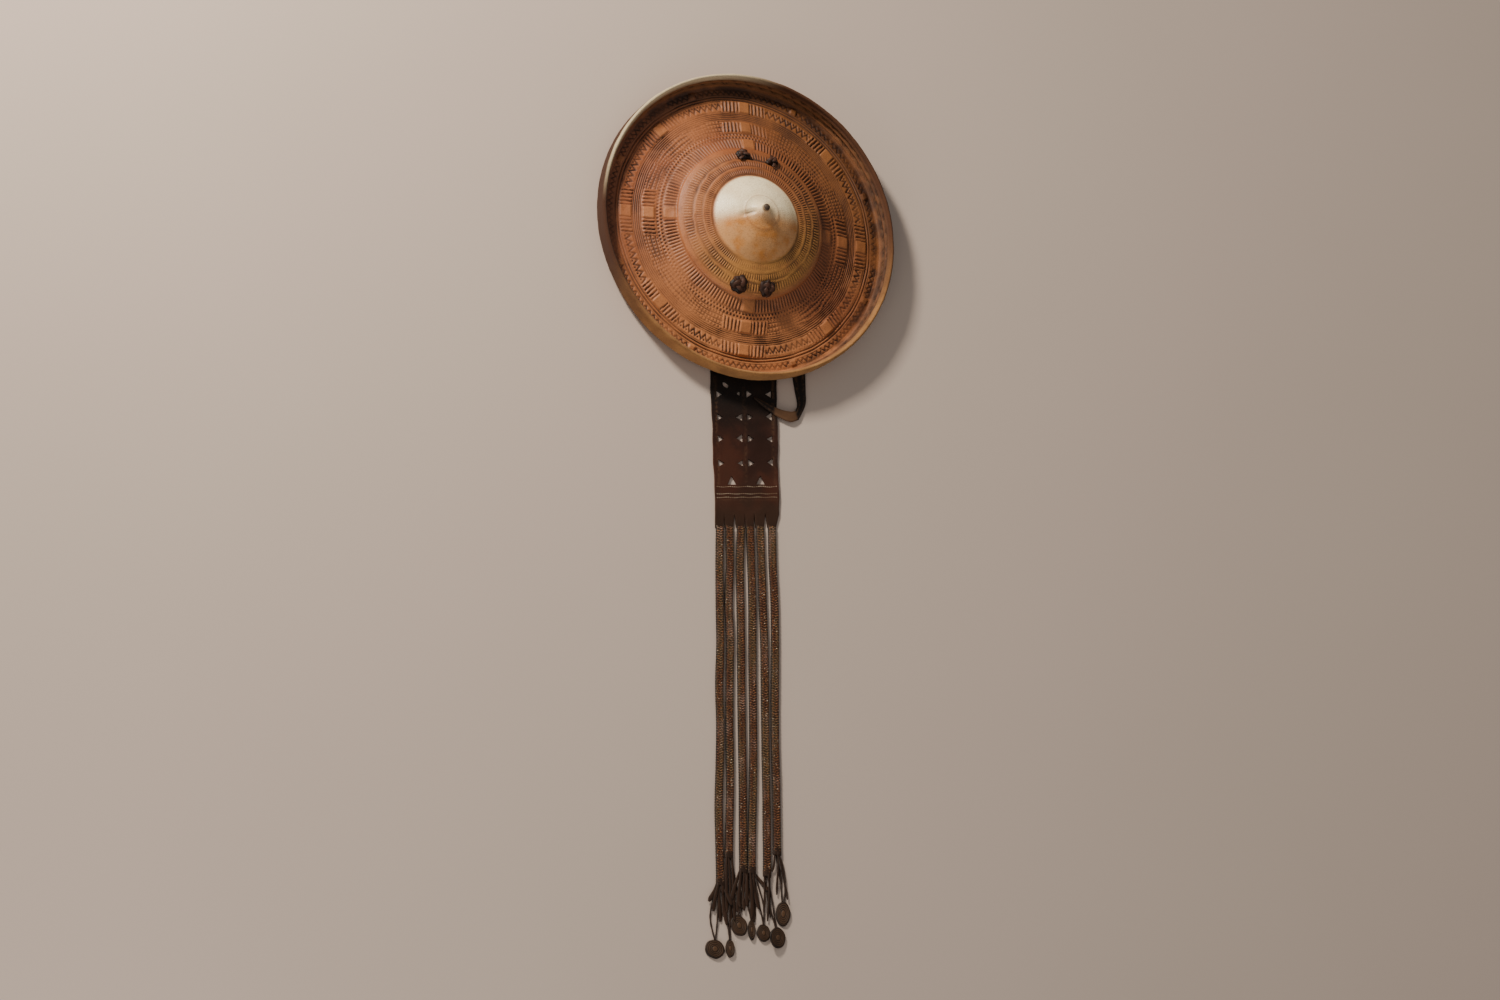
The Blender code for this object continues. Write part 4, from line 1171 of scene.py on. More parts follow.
@dataclass(frozen=True)
class Plait:
    """One hanging plait of flat leather, laid on the floor, with its whipping, thongs and discs."""

    number: int
    length: float
    reach: Pair
    sways: tuple[float, ...]
    width: float = 0.0150
    tab_overlap: float = 0.004
    middle_level: float = 0.0030
    row_spacing: float = 0.0008
    columns: int = 22
    repeat_mm: float = 8.6
    strand_sway: float = 4.7
    strand_rise: float = 1.2
    strand_half: float = 3.3
    strand_thick: float = 1.8
    rib_pitch: float = 4.6
    whip_turns: int = 6
    whip_radii: Pair = (0.0070, 0.0019)
    whip_length: float = 0.0115
    whip_thread: float = 0.0011

    @property
    def name(self) -> str:
        """The plait's name."""
        return f"plait_{self.number}"

    def line(self) -> np.ndarray:
        """The plait's middle line, in metres."""
        top, bottom = self.reach
        step = (bottom - top) / (len(self.sways) - 1)
        points = np.array([(x, -round(top + step * row, 4), self.middle_level) for row, x in enumerate(self.sways)])
        points[0, 1] += self.tab_overlap
        return smooth_line(points, self.row_spacing)

    def base(self, line: np.ndarray) -> Item:
        """A flat tube of points on the middle line, each with where it belongs in the plait."""
        count = self.columns
        rings: list[list[Vector]] = []
        sides: list[float] = []
        last = len(line) - 1
        run = np.concatenate([[0.0], np.cumsum(np.linalg.norm(np.diff(line, axis=0), axis=1))]) / MM
        for index, place in enumerate(line):
            ahead = line[min(last, index + 1)] - line[max(0, index - 1)]
            ahead = ahead / np.linalg.norm(ahead)
            side = Vector((-ahead[1], ahead[0], 0.0))
            sides.extend([side.x, side.y] * count)
            ring = []
            for angle in even_angles(count):
                out, high = cos(angle) * self.width / 2, sin(angle) * self.middle_level * 0.5
                ring.append(Vector(place) + side * out + UP * high)
            rings.append(ring)
        points, faces = skin_rings(rings)
        angles = np.tile(even_angles(count), len(line))
        side_rows = np.array(sides).reshape(-1, 2)
        numbers = {"across": np.cos(angles), "up": np.sin(angles), "side_x": side_rows[:, 0]}
        numbers["side_y"] = side_rows[:, 1]
        kept = {label: np.append(row, [0.0, 0.0]) for label, row in numbers.items()}
        kept["run"] = np.append(np.repeat(run, count), [run[0], run[-1]])
        return add_piece(self.name, points, faces, kept)

    def tree(self) -> ShapeTree:
        """The Geometry Nodes tree that plaits three flat strands along the tube."""
        tree = ShapeTree(f"{self.name}_strands")
        pitch = tree.size("Repeat", self.repeat_mm)
        sway = tree.size("Sway", self.strand_sway)
        rise = tree.size("Rise", self.strand_rise)
        half = tree.size("Strand half width", self.strand_half)
        thick = tree.size("Strand thickness", self.strand_thick)
        seed = tree.size("Seed", 10.0 * self.number)
        across, up, run = tree.attribute("across"), tree.attribute("up"), tree.attribute("run")
        side_x, side_y = tree.attribute("side_x"), tree.attribute("side_y")
        uneven = tree.unevenness(24.0, seed)
        phase = (run + uneven * 1.6) / pitch
        strands = []
        for strand in range(3):
            turn = (phase + strand / 3.0) * TURN
            strands.append((turn.step("SINE") * sway, (turn * 2.0).step("SINE") * rise))
        right = strands[0][0].most(strands[1][0]).most(strands[2][0]) + half
        left = strands[0][0].least(strands[1][0]).least(strands[2][0]) - half
        swell = tree.unevenness(15.0, seed + 3.0) * 0.05 + 1.0
        place = across.most(0.0) * right - across.least(0.0) * left
        tops, unders = [], []
        for middle, level in strands:
            away = ((place - middle) / half).size()
            dome = (1.0 - (away * away).least(1.0)).step("SQRT") * thick
            off = (away - 1.0).most(0.0) * 9.0
            tops.append(level + dome - off)
            unders.append(level - dome + off)
        top = tops[0].most(tops[1]).most(tops[2])
        under = unders[0].least(unders[1]).least(unders[2])
        upper = up.rising(-0.02, 0.02)
        level = (top * upper + under * (1.0 - upper)).least(3.0).most(-2.9)
        rib = (((run + place.size() * 0.5 + uneven * 0.6) / self.rib_pitch).to_nearest() * 2.0).rising(0.35, 0.75)
        tree.keep("rib", rib)
        tree.keep("lift", (top / 2.8).least(1.0).most(0.0) * upper + (1.0 - upper) * 0.4)
        flat = across * (self.width / MM / 2.0)
        out = (place * swell - flat) * MM
        lift = (level - upper * rib * 0.6 - up * (self.middle_level / MM * 0.5)) * MM
        end = run.rising(0.0, 3.0) * run.falling(self.length / MM - 3.0, self.length / MM)
        lift = lift * (end * 0.4 + 0.6)
        tree.move(tree.join(side_x * out, side_y * out, lift))
        return tree

    def whipping(self, line: np.ndarray, material: Material) -> Item:
        """Turns of thong wound round the plait's end."""
        end = Vector(line[-1])
        ahead = (end - Vector(line[-12])).normalized()
        side = Vector((-ahead.y, ahead.x, 0.0))
        path = []
        steps = self.whip_turns * 20
        for index in range(steps + 1):
            angle = TURN * index / 20
            out, high = cos(angle) * self.whip_radii[0], sin(angle) * self.whip_radii[1]
            back = self.whip_length * (1.0 - index / steps)
            path.append(end - ahead * back + side * out + UP * high)
        rings = []
        for index, place in enumerate(path):
            forward = way_along(path, index)
            first = forward.cross(ahead).normalized()
            second = forward.cross(first)
            rings.append([
                place + (first * cos(angle) + second * sin(angle) * 1.3) * self.whip_thread
                for angle in even_angles(6)
            ])
        lifts = [0.8] * (len(rings) * 6 + 2)
        piece = skin_piece(f"{self.name}_whipping", rings, {"lift": lifts})
        return dress(piece, material)

    def build(self, material: Material) -> tuple[Item, np.ndarray]:
        """The plait itself, in place of its solid.

        Args:
            material: The plait's finish.

        Returns:
            The piece and its middle line.
        """
        line = self.line()
        piece = self.base(line)
        self.tree().shape(piece, material)
        recalculate(piece)
        dress(piece, material)
        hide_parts(f"braid_{self.number}")
        return piece, line

    def declare(self, piece: Item, line: np.ndarray, with_pieces: Sequence[Item]) -> None:
        """Gather every fourth point of the plait's middle line and its end into a list, which is not kept."""
        [tuple(point) for point in line[::4]] + [tuple(line[-1])]


def recalculate(piece: Item) -> None:
    """Turn a piece's faces outwards."""
    mesh = bmesh.new()
    mesh.from_mesh(piece.data)
    bmesh.ops.recalc_face_normals(mesh, faces=mesh.faces)
    mesh.to_mesh(piece.data)
    mesh.free()


PLAITS = (
    Plait(1, 0.636, (0.5417, 1.1777), (
        -0.0382, -0.0387, -0.0382, -0.0372, -0.0391, -0.0372, -0.0382, -0.0400, -0.0386, -0.0372,
    )),
    Plait(2, 0.588, (0.539067, 1.127067), (
        -0.0205, -0.0196, -0.0218, -0.0191, -0.0199, -0.0203, -0.0196, -0.0192, -0.0203, -0.0215,
    )),
    Plait(3, 0.613, (0.535859, 1.148908), (
        0.0008, -0.0011, 0.0000, 0.0011, 0.0015, 0.0023, 0.0035, 0.0045, 0.0045, 0.0054,
    )),
    Plait(4, 0.615, (0.5334, 1.1484), (
        0.0175, 0.0201, 0.0220, 0.0221, 0.0224, 0.0233, 0.0237, 0.0229, 0.0212, 0.0208,
    )),
    Plait(5, 0.619, (0.53062, 1.14964), (
        0.0361, 0.0389, 0.0413, 0.0440, 0.0451, 0.0457, 0.0467, 0.0480, 0.0487, 0.0491,
    )),
    Plait(6, 0.581, (0.5273, 1.10834), (
        0.0583, 0.0597, 0.0629, 0.0639, 0.0639, 0.0635, 0.0641, 0.0659, 0.0669, 0.0676,
    )),
)


@dataclass(frozen=True)
class StampedDisc:
    """A small leather disc stamped with rings, on its pair of thongs from a plait's end."""

    number: int
    plait: int
    centre: Pair
    half_sizes: Pair
    bow: float
    side: float = 0.0
    lean_degrees: float = 0.0
    measured_with: int = 0
    spread: float = 0.0020
    thickness: float = 0.004
    columns: int = 40
    thong_shape: StripShape = StripShape(0.0013, 0.0009)
    thong_steps: int = 8

    def profile(self) -> list[Pair]:
        """The disc's section from its underside round to its middle: share of radius, share of height."""
        line = [(0.55, 0.0), (0.90, 0.02), (0.985, 0.22), (1.0, 0.45), (0.975, 0.68), (0.93, 0.80)]
        for ring in (0.84, 0.67, 0.50, 0.33):
            line += [(ring + 0.055, 0.93), (ring + 0.015, 0.80), (ring - 0.025, 0.80), (ring - 0.06, 0.98)]
        line += [(0.14, 1.0), (0.05, 1.04)]
        return line

    def disc(self, material: Material) -> Item:
        """The disc, flat on the floor or leaning on its neighbour."""
        tilt = radians(self.lean_degrees)
        wide, tall = self.half_sizes
        rings = []
        lifts: list[float] = []
        for share, up in self.profile():
            ring = []
            for angle in even_angles(self.columns):
                uneven = 1.0 + 0.035 * sin(2 * angle + self.number)
                uneven += 0.02 * sin(5 * angle + 2 * self.number)
                x, y = wide * share * uneven * cos(angle), tall * share * uneven * sin(angle)
                cup = 0.0006 * sin(angle + self.number) * share
                z = max(0.0, self.thickness * up + (cup if up > 0.3 else 0.0))
                ring.append(Vector((
                    self.centre[0] + x * cos(tilt) + z * sin(tilt),
                    self.centre[1] + y,
                    (wide - x) * sin(tilt) + z * cos(tilt),
                )))
            rings.append(ring)
            lifts.extend([1.0 if up > 0.9 else (0.1 if 0.78 < up < 0.82 else 0.5)] * self.columns)
        piece = skin_piece(f"stamped_disc_{self.number}", rings, {"lift": lifts + [0.3, 0.4]})
        dress(piece, material)
        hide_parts(f"disc_{self.number}")
        return piece

    def thongs(self, end: Vector, material: Material) -> Item:
        """The pair of thongs, spread into a loop between the plait's end and the disc."""
        top = Vector((self.centre[0], self.centre[1] + self.half_sizes[1] * 0.93, 0.0))
        start = Vector((end.x + self.side * 0.0032, end.y + 0.004, 0.0))
        strands = []
        for way in (-1.0, 1.0):
            points = []
            for step in range(self.thong_steps + 1):
                share = step / self.thong_steps
                place = start.lerp(top, share)
                spread = 0.0011 + self.spread * sin(pi * share) ** 0.8
                wave = 0.0008 * sin(7.0 * share + self.number * 1.7 + way)
                place.x += self.bow * sin(pi * share) + way * spread + wave
                place.z = 0.0014 + 0.0012 * sin(pi * share * 2 + way) ** 2
                place.z += 0.0012 * (way > 0) * (1 - share)
                points.append(tuple(place))
            line = smooth_line(np.array(points), STRIP_SPACING)
            widths = [1.0 + 0.15 * sin(index * 0.9 + self.number) for index in range(len(line))]
            strands.append(self.thong_shape.piece(f"thong_{self.number}_{way:.0f}", line, UP, widths))
        piece = join_pieces(f"disc_thongs_{self.number}", strands)
        dress(piece, material)
        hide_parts(f"disc_thong_{self.number}")
        return piece


DISCS = (
    StampedDisc(1, 1, (-0.0465, -1.2915), (0.0175, 0.0172), -0.0060, spread=0.0048),
    StampedDisc(2, 2, (-0.0185, -1.2865), (0.0080, 0.0165), -0.0036, measured_with=1),
    StampedDisc(3, 3, (-0.0020, -1.2435), (0.0155, 0.0185), 0.0040),
    StampedDisc(4, 4, (0.0213, -1.2480), (0.0070, 0.0180), -0.0020, -1.0),
    StampedDisc(5, 4, (0.0432, -1.2505), (0.0130, 0.0150), 0.0030, 1.0),
    StampedDisc(6, 5, (0.0670, -1.2565), (0.0165, 0.0185), -0.0030, 0.0, 13.0),
    StampedDisc(7, 6, (0.0790, -1.2115), (0.0130, 0.0225), 0.0050, spread=0.0032),
)


@dataclass(frozen=True)
class Tassel:
    """Short flat leather ends that fan out below a plait's whipping."""

    plait: int
    lengths: tuple[float, ...]
    leans: tuple[float, ...]
    half_width: float = 0.0026
    half_thickness: float = 0.0007
    pitch: float = 0.0032
    steps: int = 5
    facing: tuple[float, float, float] = (0.15, 0.0, 1.0)

    def build(self, end: Vector, material: Material) -> Item:
        """The fan of leather ends.

        Args:
            end: Where the plait ends, in metres.
            material: Their finish.

        Returns:
            The piece.
        """
        strips = []
        for index, (length, lean) in enumerate(zip(self.lengths, self.leans)):
            offset = (index - (len(self.lengths) - 1) / 2) * self.pitch
            points = []
            for step in range(self.steps + 1):
                share = step / self.steps
                curl = 0.0022 * sin(2.6 * share + index * 1.9 + self.plait)
                points.append((
                    end.x + offset + lean * share + curl,
                    end.y + 0.003 - length * share,
                    0.0030 + 0.0010 * (index % 2) + 0.0016 * sin(pi * share + index),
                ))
            line = smooth_line(np.array(points), STRIP_SPACING)
            shares = np.linspace(0.0, 1.0, len(line))
            widths = [0.55 + 0.75 * share if share < 0.85 else 1.2 - 4.5 * (share - 0.85) for share in shares]
            shape = StripShape(self.half_width, self.half_thickness)
            strips.append(shape.piece(f"end_{self.plait}_{index}", line, Vector(self.facing), widths))
        piece = join_pieces(f"plait_{self.plait}_tassel", strips)
        return dress(piece, material)


TASSELS = (
    Tassel(1, (0.034, 0.050, 0.066, 0.058, 0.072, 0.036), (-0.012, -0.006, 0.001, 0.005, 0.009, 0.011), 0.0036),
    Tassel(2, (0.070, 0.100, 0.124, 0.112, 0.088), (-0.003, 0.000, 0.004, 0.009, 0.015), 0.0032),
    Tassel(3, (0.058, 0.074, 0.066, 0.070, 0.052), (-0.015, -0.010, -0.004, 0.000, 0.005), 0.0036),
    Tassel(4, (0.062, 0.082, 0.088, 0.064, 0.030), (-0.003, 0.002, 0.007, 0.010, 0.022), 0.0036),
    Tassel(5, (0.060, 0.082, 0.074), (-0.004, 0.001, 0.006), 0.0019),
    Tassel(6, (0.034, 0.074, 0.054, 0.080), (-0.006, 0.003, 0.008, 0.012), 0.0020),
)


def panel_point(across: float, along: float) -> Pair:
    """A point of the sling panel in plan, from its centre line and its distance below the rim."""
    return (PANEL_MIDDLE + along * PANEL_LEAN + across, PANEL_TOP - along + across * PANEL_SLANT)


def panel_points(*places: Pair) -> list[Pair]:
    """Points of the sling panel in plan, each from its distance across and along."""
    return [panel_point(across, along) for across, along in places]


@dataclass(frozen=True)
class SlingPanel:
    """The cut and stitched sling panel, from the grip's lower thongs down to its slit hem. Metres."""

    head: Pairs = (
        (-0.10065, 0.076), (-0.13065, 0.076), (-0.14565, 0.076), (-0.16665, 0.0821), (-0.19365, 0.095),
        (-0.21765, 0.1125),
    )
    levels: Pairs = (
        (-0.0900, 0.0260), (-0.13065, 0.0260), (-0.14565, 0.0203), (-0.16665, 0.0123), (-0.19365, 0.0021),
        (-0.2050, 0.0), (-0.6000, 0.0),
    )
    top_width: float = 0.121
    hem_width: float = 0.117
    length: float = 0.249
    tab: float = 0.022
    slit: float = 0.0030
    braid_width: float = 0.0150
    braid_starts: tuple[float, ...] = (-0.0518, -0.0341, -0.0128, 0.0039, 0.0225, 0.0447)
    cut_rows: tuple[float, ...] = (0.033, 0.074, 0.113, 0.156)
    cut_columns: tuple[float, ...] = (-0.045, -0.0105, 0.0105, 0.045)
    cut_length: float = 0.0122
    cut_base: float = 0.0142
    peaks: tuple[float, ...] = (-0.0265, 0.0265)
    peak_row: float = 0.187
    peak_size: Pair = (0.0180, 0.0165)
    eyelet: Pair = (-0.0335, 0.0165)
    eyelet_radii: Pair = (0.0070, 0.0042)
    eyelet_turn: float = 40.0
    thong_hole: float = 0.0056
    stitch_rows: tuple[float, ...] = (0.1990, 0.2115, 0.2180)
    grid: float = 0.0042
    grid_box: Pairs = ((-0.066, 0.074), (-0.534, -0.098))
    border_line: Pair = (0.0070, 0.0030)
    seam_half: float = 0.0032
    hem_line: Pair = (0.222, 0.0025)
    hem_steps: int = 54
    edge_round: float = 0.0003
    flat_length: float = 0.434

    def outline(self) -> list[Pair]:
        """The panel's edge in plan, with the slits of its hem."""
        left = [(-width / 2, y) for y, width in self.head]
        right = [(width / 2, y) for y, width in self.head]
        low = self.length + self.tab
        sides = []
        for way in (-1.0, 1.0):
            side = []
            for step in range(25):
                along = self.length * step / 24
                width = self.top_width + (self.hem_width - self.top_width) * along / self.length
                ripple = 0.0006 * sin(along * 61.0 + way) + 0.0004 * sin(along * 143.0 + 2.0 * way)
                side.append(panel_point(way * (width / 2 + ripple), along))
            sides.append(side)
        hem = [panel_point(self.braid_starts[0] - self.braid_width / 2, low)]
        for first, second in zip(self.braid_starts, self.braid_starts[1:]):
            middle = (first + second) / 2
            half = max(self.slit, second - first - self.braid_width) / 2
            high = self.length - self.slit
            hem += panel_points((middle - half, low), (middle - 0.0003, high), (middle + 0.0003, high))
            hem.append(panel_point(middle + half, low))
        hem.append(panel_point(self.braid_starts[-1] + self.braid_width / 2, low))
        return left + sides[0] + hem + sides[1][::-1] + right[::-1]

    def openings(self) -> list[list[Pair]]:
        """The panel's openings: facing triangles, peaks, the eyelet and the thong holes."""
        shapes = []
        for row, along in enumerate(self.cut_rows):
            for column, across in enumerate(self.cut_columns):
                way = 1.0 if column % 2 == 0 else -1.0
                small = 0.62 if (row, column) == (0, 1) else 1.0 + 0.06 * sin(5.0 * row + 3.0 * column)
                turn = 0.0015 * sin(3.0 * row + 5.0 * column)
                half, base = way * self.cut_length * small / 2, self.cut_base * small / 2
                back, tip = (across - half, along - base + turn), (across + half, along + turn / 2)
                shapes.append(panel_points(back, tip, (across - half, along + base)))
        wide, tall = self.peak_size[0] / 2, self.peak_size[1] / 2
        row = self.peak_row
        for across in self.peaks:
            left, right = (across - wide, row + tall), (across + wide, row + tall)
            shapes.append(panel_points(left, (across, row - tall), right))
        cosine, sine = cos(radians(self.eyelet_turn)), sin(radians(self.eyelet_turn))
        ring = []
        for angle in even_angles(20):
            one, two = cos(angle) * self.eyelet_radii[0], sin(angle) * self.eyelet_radii[1]
            ring.append((self.eyelet[0] + one * cosine + two * sine, self.eyelet[1] + one * sine - two * cosine))
        shapes.append(panel_points(*ring))
        hole = self.thong_hole
        for x, y in KNOT_PLACES[:2]:
            shapes.append([(x + hole * cos(angle), y + hole * sin(angle)) for angle in even_angles(14)])
        return shapes

    def flat_plate(self) -> Item:
        """The panel cut out flat, with rounded edges."""
        curve = bpy.data.curves.new("sling_flat", "CURVE")
        curve.dimensions = "2D"
        curve.fill_mode = "BOTH"
        curve.extrude = STRAP_THICKNESS / 2 - self.edge_round
        curve.bevel_depth = self.edge_round
        curve.bevel_resolution = 1
        for shape in [self.outline()] + self.openings():
            spline = curve.splines.new("POLY")
            spline.points.add(len(shape) - 1)
            for point, (x, y) in zip(spline.points, shape):
                point.co = (x, y, 0.0, 1.0)
            spline.use_cyclic_u = True
        flat = place_item("sling_flat", curve)
        mesh = final_mesh(flat)
        bpy.data.objects.remove(flat)
        bpy.data.curves.remove(curve)
        return place_item("sling_leather", mesh)

    def place_in_panel(self, x: float, y: float) -> tuple[float, float, float]:
        """A point's distance from the panel's centre line and below the rim, and half the width there."""
        across = x - PANEL_MIDDLE + (y - PANEL_TOP) * PANEL_LEAN
        along = PANEL_TOP - y + across * PANEL_SLANT
        return across, along, self.top_width / 2 + (self.hem_width - self.top_width) / 2 * along / self.length

    def level(self, x: float, y: float) -> float:
        """How far the panel's underside stands over the floor: its ramp to the grip, and a slight buckle."""
        across, along, half = self.place_in_panel(x, y)
        base = float(np.interp(-y, [-reach for reach, _ in self.levels], [height for _, height in self.levels]))
        if along <= 0.0:
            return base
        away = min(1.0, along / 0.05) * min(1.0, max(0.0, (self.length + self.tab - along) / 0.03))
        wave = noise.noise(Vector((x * 18.0, y * 26.0, 3.1))) + 0.4 * noise.noise(Vector((x * 50.0, y * 60.0, 8.4)))
        curl = max(0.0, abs(across) / half - 0.80) / 0.20
        return base + (max(0.0, wave) * 0.0019 + curl * curl * 0.0007) * away

    def build(self, material: Material) -> Item:
        """The panel, gridded and laid to its levels with a slight buckle."""
        piece = self.flat_plate()
        cutter = bmesh.new()
        cutter.from_mesh(piece.data)
        bmesh.ops.remove_doubles(cutter, verts=cutter.verts, dist=0.00001)
        for axis, (start, end) in enumerate(self.grid_box):
            for index in range(int((end - start) / self.grid) + 1):
                place, way = Vector(), Vector()
                place[axis] = start + index * self.grid
                way[axis] = 1.0
                geometry = cutter.verts[:] + cutter.edges[:] + cutter.faces[:]
                bmesh.ops.bisect_plane(cutter, geom=geometry, dist=0.00002, plane_co=place, plane_no=way)
        line = cutter.verts.layers.float.new("line")
        for point in cutter.verts:
            across, along, half = self.place_in_panel(point.co.x, point.co.y)
            top = 1.0 if point.co.z > 0 else 0.0
            point.co.z += STRAP_THICKNESS / 2 + self.level(point.co.x, point.co.y)
            inset, width = self.border_line
            marks = max(0.0, 1.0 - abs(half - abs(across) - inset) / width) * (0.0 < along < 0.195)
            seam = max(0.0, 1.0 - abs(across) / self.seam_half) * (0.02 < along < 0.19) * 0.6
            hem = max(0.0, 1.0 - abs(along - self.hem_line[0]) / self.hem_line[1]) * 0.5
            point[line] = max(marks, seam, hem) * top
        cutter.to_mesh(piece.data)
        cutter.free()
        for polygon in piece.data.polygons:
            polygon.use_smooth = abs(polygon.normal.z) > 0.8
        recalculate(piece)
        piece.data.materials.clear()
        dress(piece, material)
        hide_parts("sling_panel")
        return piece

    def declare(self, leather: Item, sewn: Sequence[Item], under: Sequence[Item]) -> None:
        """Does nothing: the panel is a sheet laid on the floor, its head over the grip's thongs."""

    def stitches(self, material: Material) -> Item:
        """Rows of thread stitches over the hem, set out along their lines by Geometry Nodes."""
        points, edges = [], []
        for along in self.stitch_rows:
            half = self.hem_width / 2 - 0.004
            for step in range(self.hem_steps + 1):
                across = -half + 2 * half * step / self.hem_steps
                x, y = panel_point(across, along + 0.0006 * sin(step * 0.45 + along * 90))
                if step:
                    edges.append((len(points) - 1, len(points)))
                points.append((x, y, STRAP_THICKNESS + self.level(x, y) + 0.0001))
        mesh = bpy.data.meshes.new("hem_stitches")
        mesh.from_pydata(points, edges, [])
        piece = place_item("hem_stitches", mesh)
        tree = ShapeTree("hem_stitch_rows")
        pitch, size = tree.size("Stitch pitch", 0.0041), tree.size("Stitch size", 0.00060)
        line = tree.node("GeometryNodeMeshToCurve", {0: tree.geometry}).outputs[0]
        line = tree.node("GeometryNodeResampleCurve", {"Curve": line, "Length": pitch}, mode="LENGTH").outputs[0]
        bead = tree.node("GeometryNodeMeshIcoSphere", {"Radius": size, "Subdivisions": 2}).outputs["Mesh"]
        bead = tree.node("GeometryNodeSetShadeSmooth", {0: bead}).outputs[0]
        tangent = tree.node("GeometryNodeInputTangent").outputs[0]
        turn = tree.node("FunctionNodeAlignRotationToVector", {"Vector": tangent}, axis="X").outputs[0]
        uneven = tree.unevenness(400.0, 2.0) * 0.25
        scale = tree.join(uneven + 1.65, uneven * 0.4 + 0.85, uneven * 0.0 + 0.6)
        inputs = {"Points": line, "Instance": bead, "Rotation": turn, "Scale": scale}
        spread = tree.node("GeometryNodeInstanceOnPoints", inputs)
        tree.geometry = spread.outputs["Instances"]
        tree.shape(piece, material)
        return dress(piece, material)


@dataclass(frozen=True)
class CarryingStrap:
    """The narrow carrying strap: from the grip, under the rim, folded at its corner and laid on the panel.

    Its stations give the left edge, the right edge and the level, in metres.
    """

    stations: tuple[tuple[float, ...], ...] = (
        (0.0482, 0.1270, 0.0242, 0.1270, 0.0260), (0.0482, 0.0930, 0.0247, 0.0935, 0.0260),
        (0.0612, 0.0490, 0.0380, 0.0560, 0.0200), (0.0810, -0.0180, 0.0560, -0.0160, 0.0040),
        (0.1000, -0.1200, 0.0766, -0.1260, 0.0000), (0.1142, -0.1910, 0.0907, -0.1950, 0.0000),
        (0.1205, -0.2430, 0.0965, -0.2430, 0.0000), (0.1215, -0.2720, 0.1010, -0.2700, 0.0000),
        (0.1205, -0.2960, 0.1060, -0.2960, 0.0002), (0.1080, -0.3240, 0.1020, -0.3090, 0.0014),
        (0.0935, -0.3310, 0.0920, -0.3125, 0.0033), (0.0700, -0.3260, 0.0712, -0.3110, 0.0034),
        (0.0465, -0.3150, 0.0471, -0.3030, 0.0034), (0.0235, -0.2990, 0.0245, -0.2960, 0.0034),
    )
    thickness: float = 0.0025
    spacing: float = 0.005
    corner: int = 9
    shares: tuple[float, ...] = (-0.5, -0.46, -0.3, -0.1, 0.1, 0.3, 0.46, 0.5)
    turned_beyond: float = 0.062
    edge_round: float = 0.0007

    def build(self, material: Material) -> Item:
        """The strap as one closed ribbon with rounded edges."""
        both = np.array([(*station[:2], station[4], *station[2:]) for station in self.stations])
        hanging, lapped = both[: self.corner + 1], both[self.corner:]
        hanging, lapped = (smooth_line(half, self.spacing * 1.4) for half in (hanging, lapped))
        rows, first_lapped = np.vstack([hanging, lapped[1:]]), len(hanging)
        shares = self.shares
        rings: list[list[Vector]] = []
        lines: list[float] = []
        turned: list[float] = []
        for index, row in enumerate(rows):
            left, right = Vector(row[:3]), Vector(row[3:])
            beyond = index >= first_lapped and left.x > self.turned_beyond
            turned.extend([1.0 if beyond else 0.0] * (2 * len(shares)))
            level = max(0.0, min(left.z, right.z))
            wave = 0.0005 * sin(index * 0.37) + 0.0005
            upper, under = [], []
            for share in shares:
                round_off = self.edge_round if abs(share) > 0.49 else 0.0
                place = left.lerp(right, 0.5 - share)
                crown = 0.0004 * (1.0 - 4.0 * share * share)
                upper.append(Vector((place.x, place.y, level + self.thickness - round_off + crown + wave)))
                under.append(Vector((place.x, place.y, level + round_off)))
            rings.append(upper[::-1] + under)
            lines.extend([0.9 if 0.25 < abs(share) < 0.35 else 0.0 for share in shares[::-1]] + [0.0] * len(shares))
        numbers = {"line": lines + [0.0, 0.0], "turned": turned + [0.0, 0.0]}
        piece = skin_piece("carrying_strap_leather", rings, numbers)
        dress(piece, material)
        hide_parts("carrying_strap")
        return piece


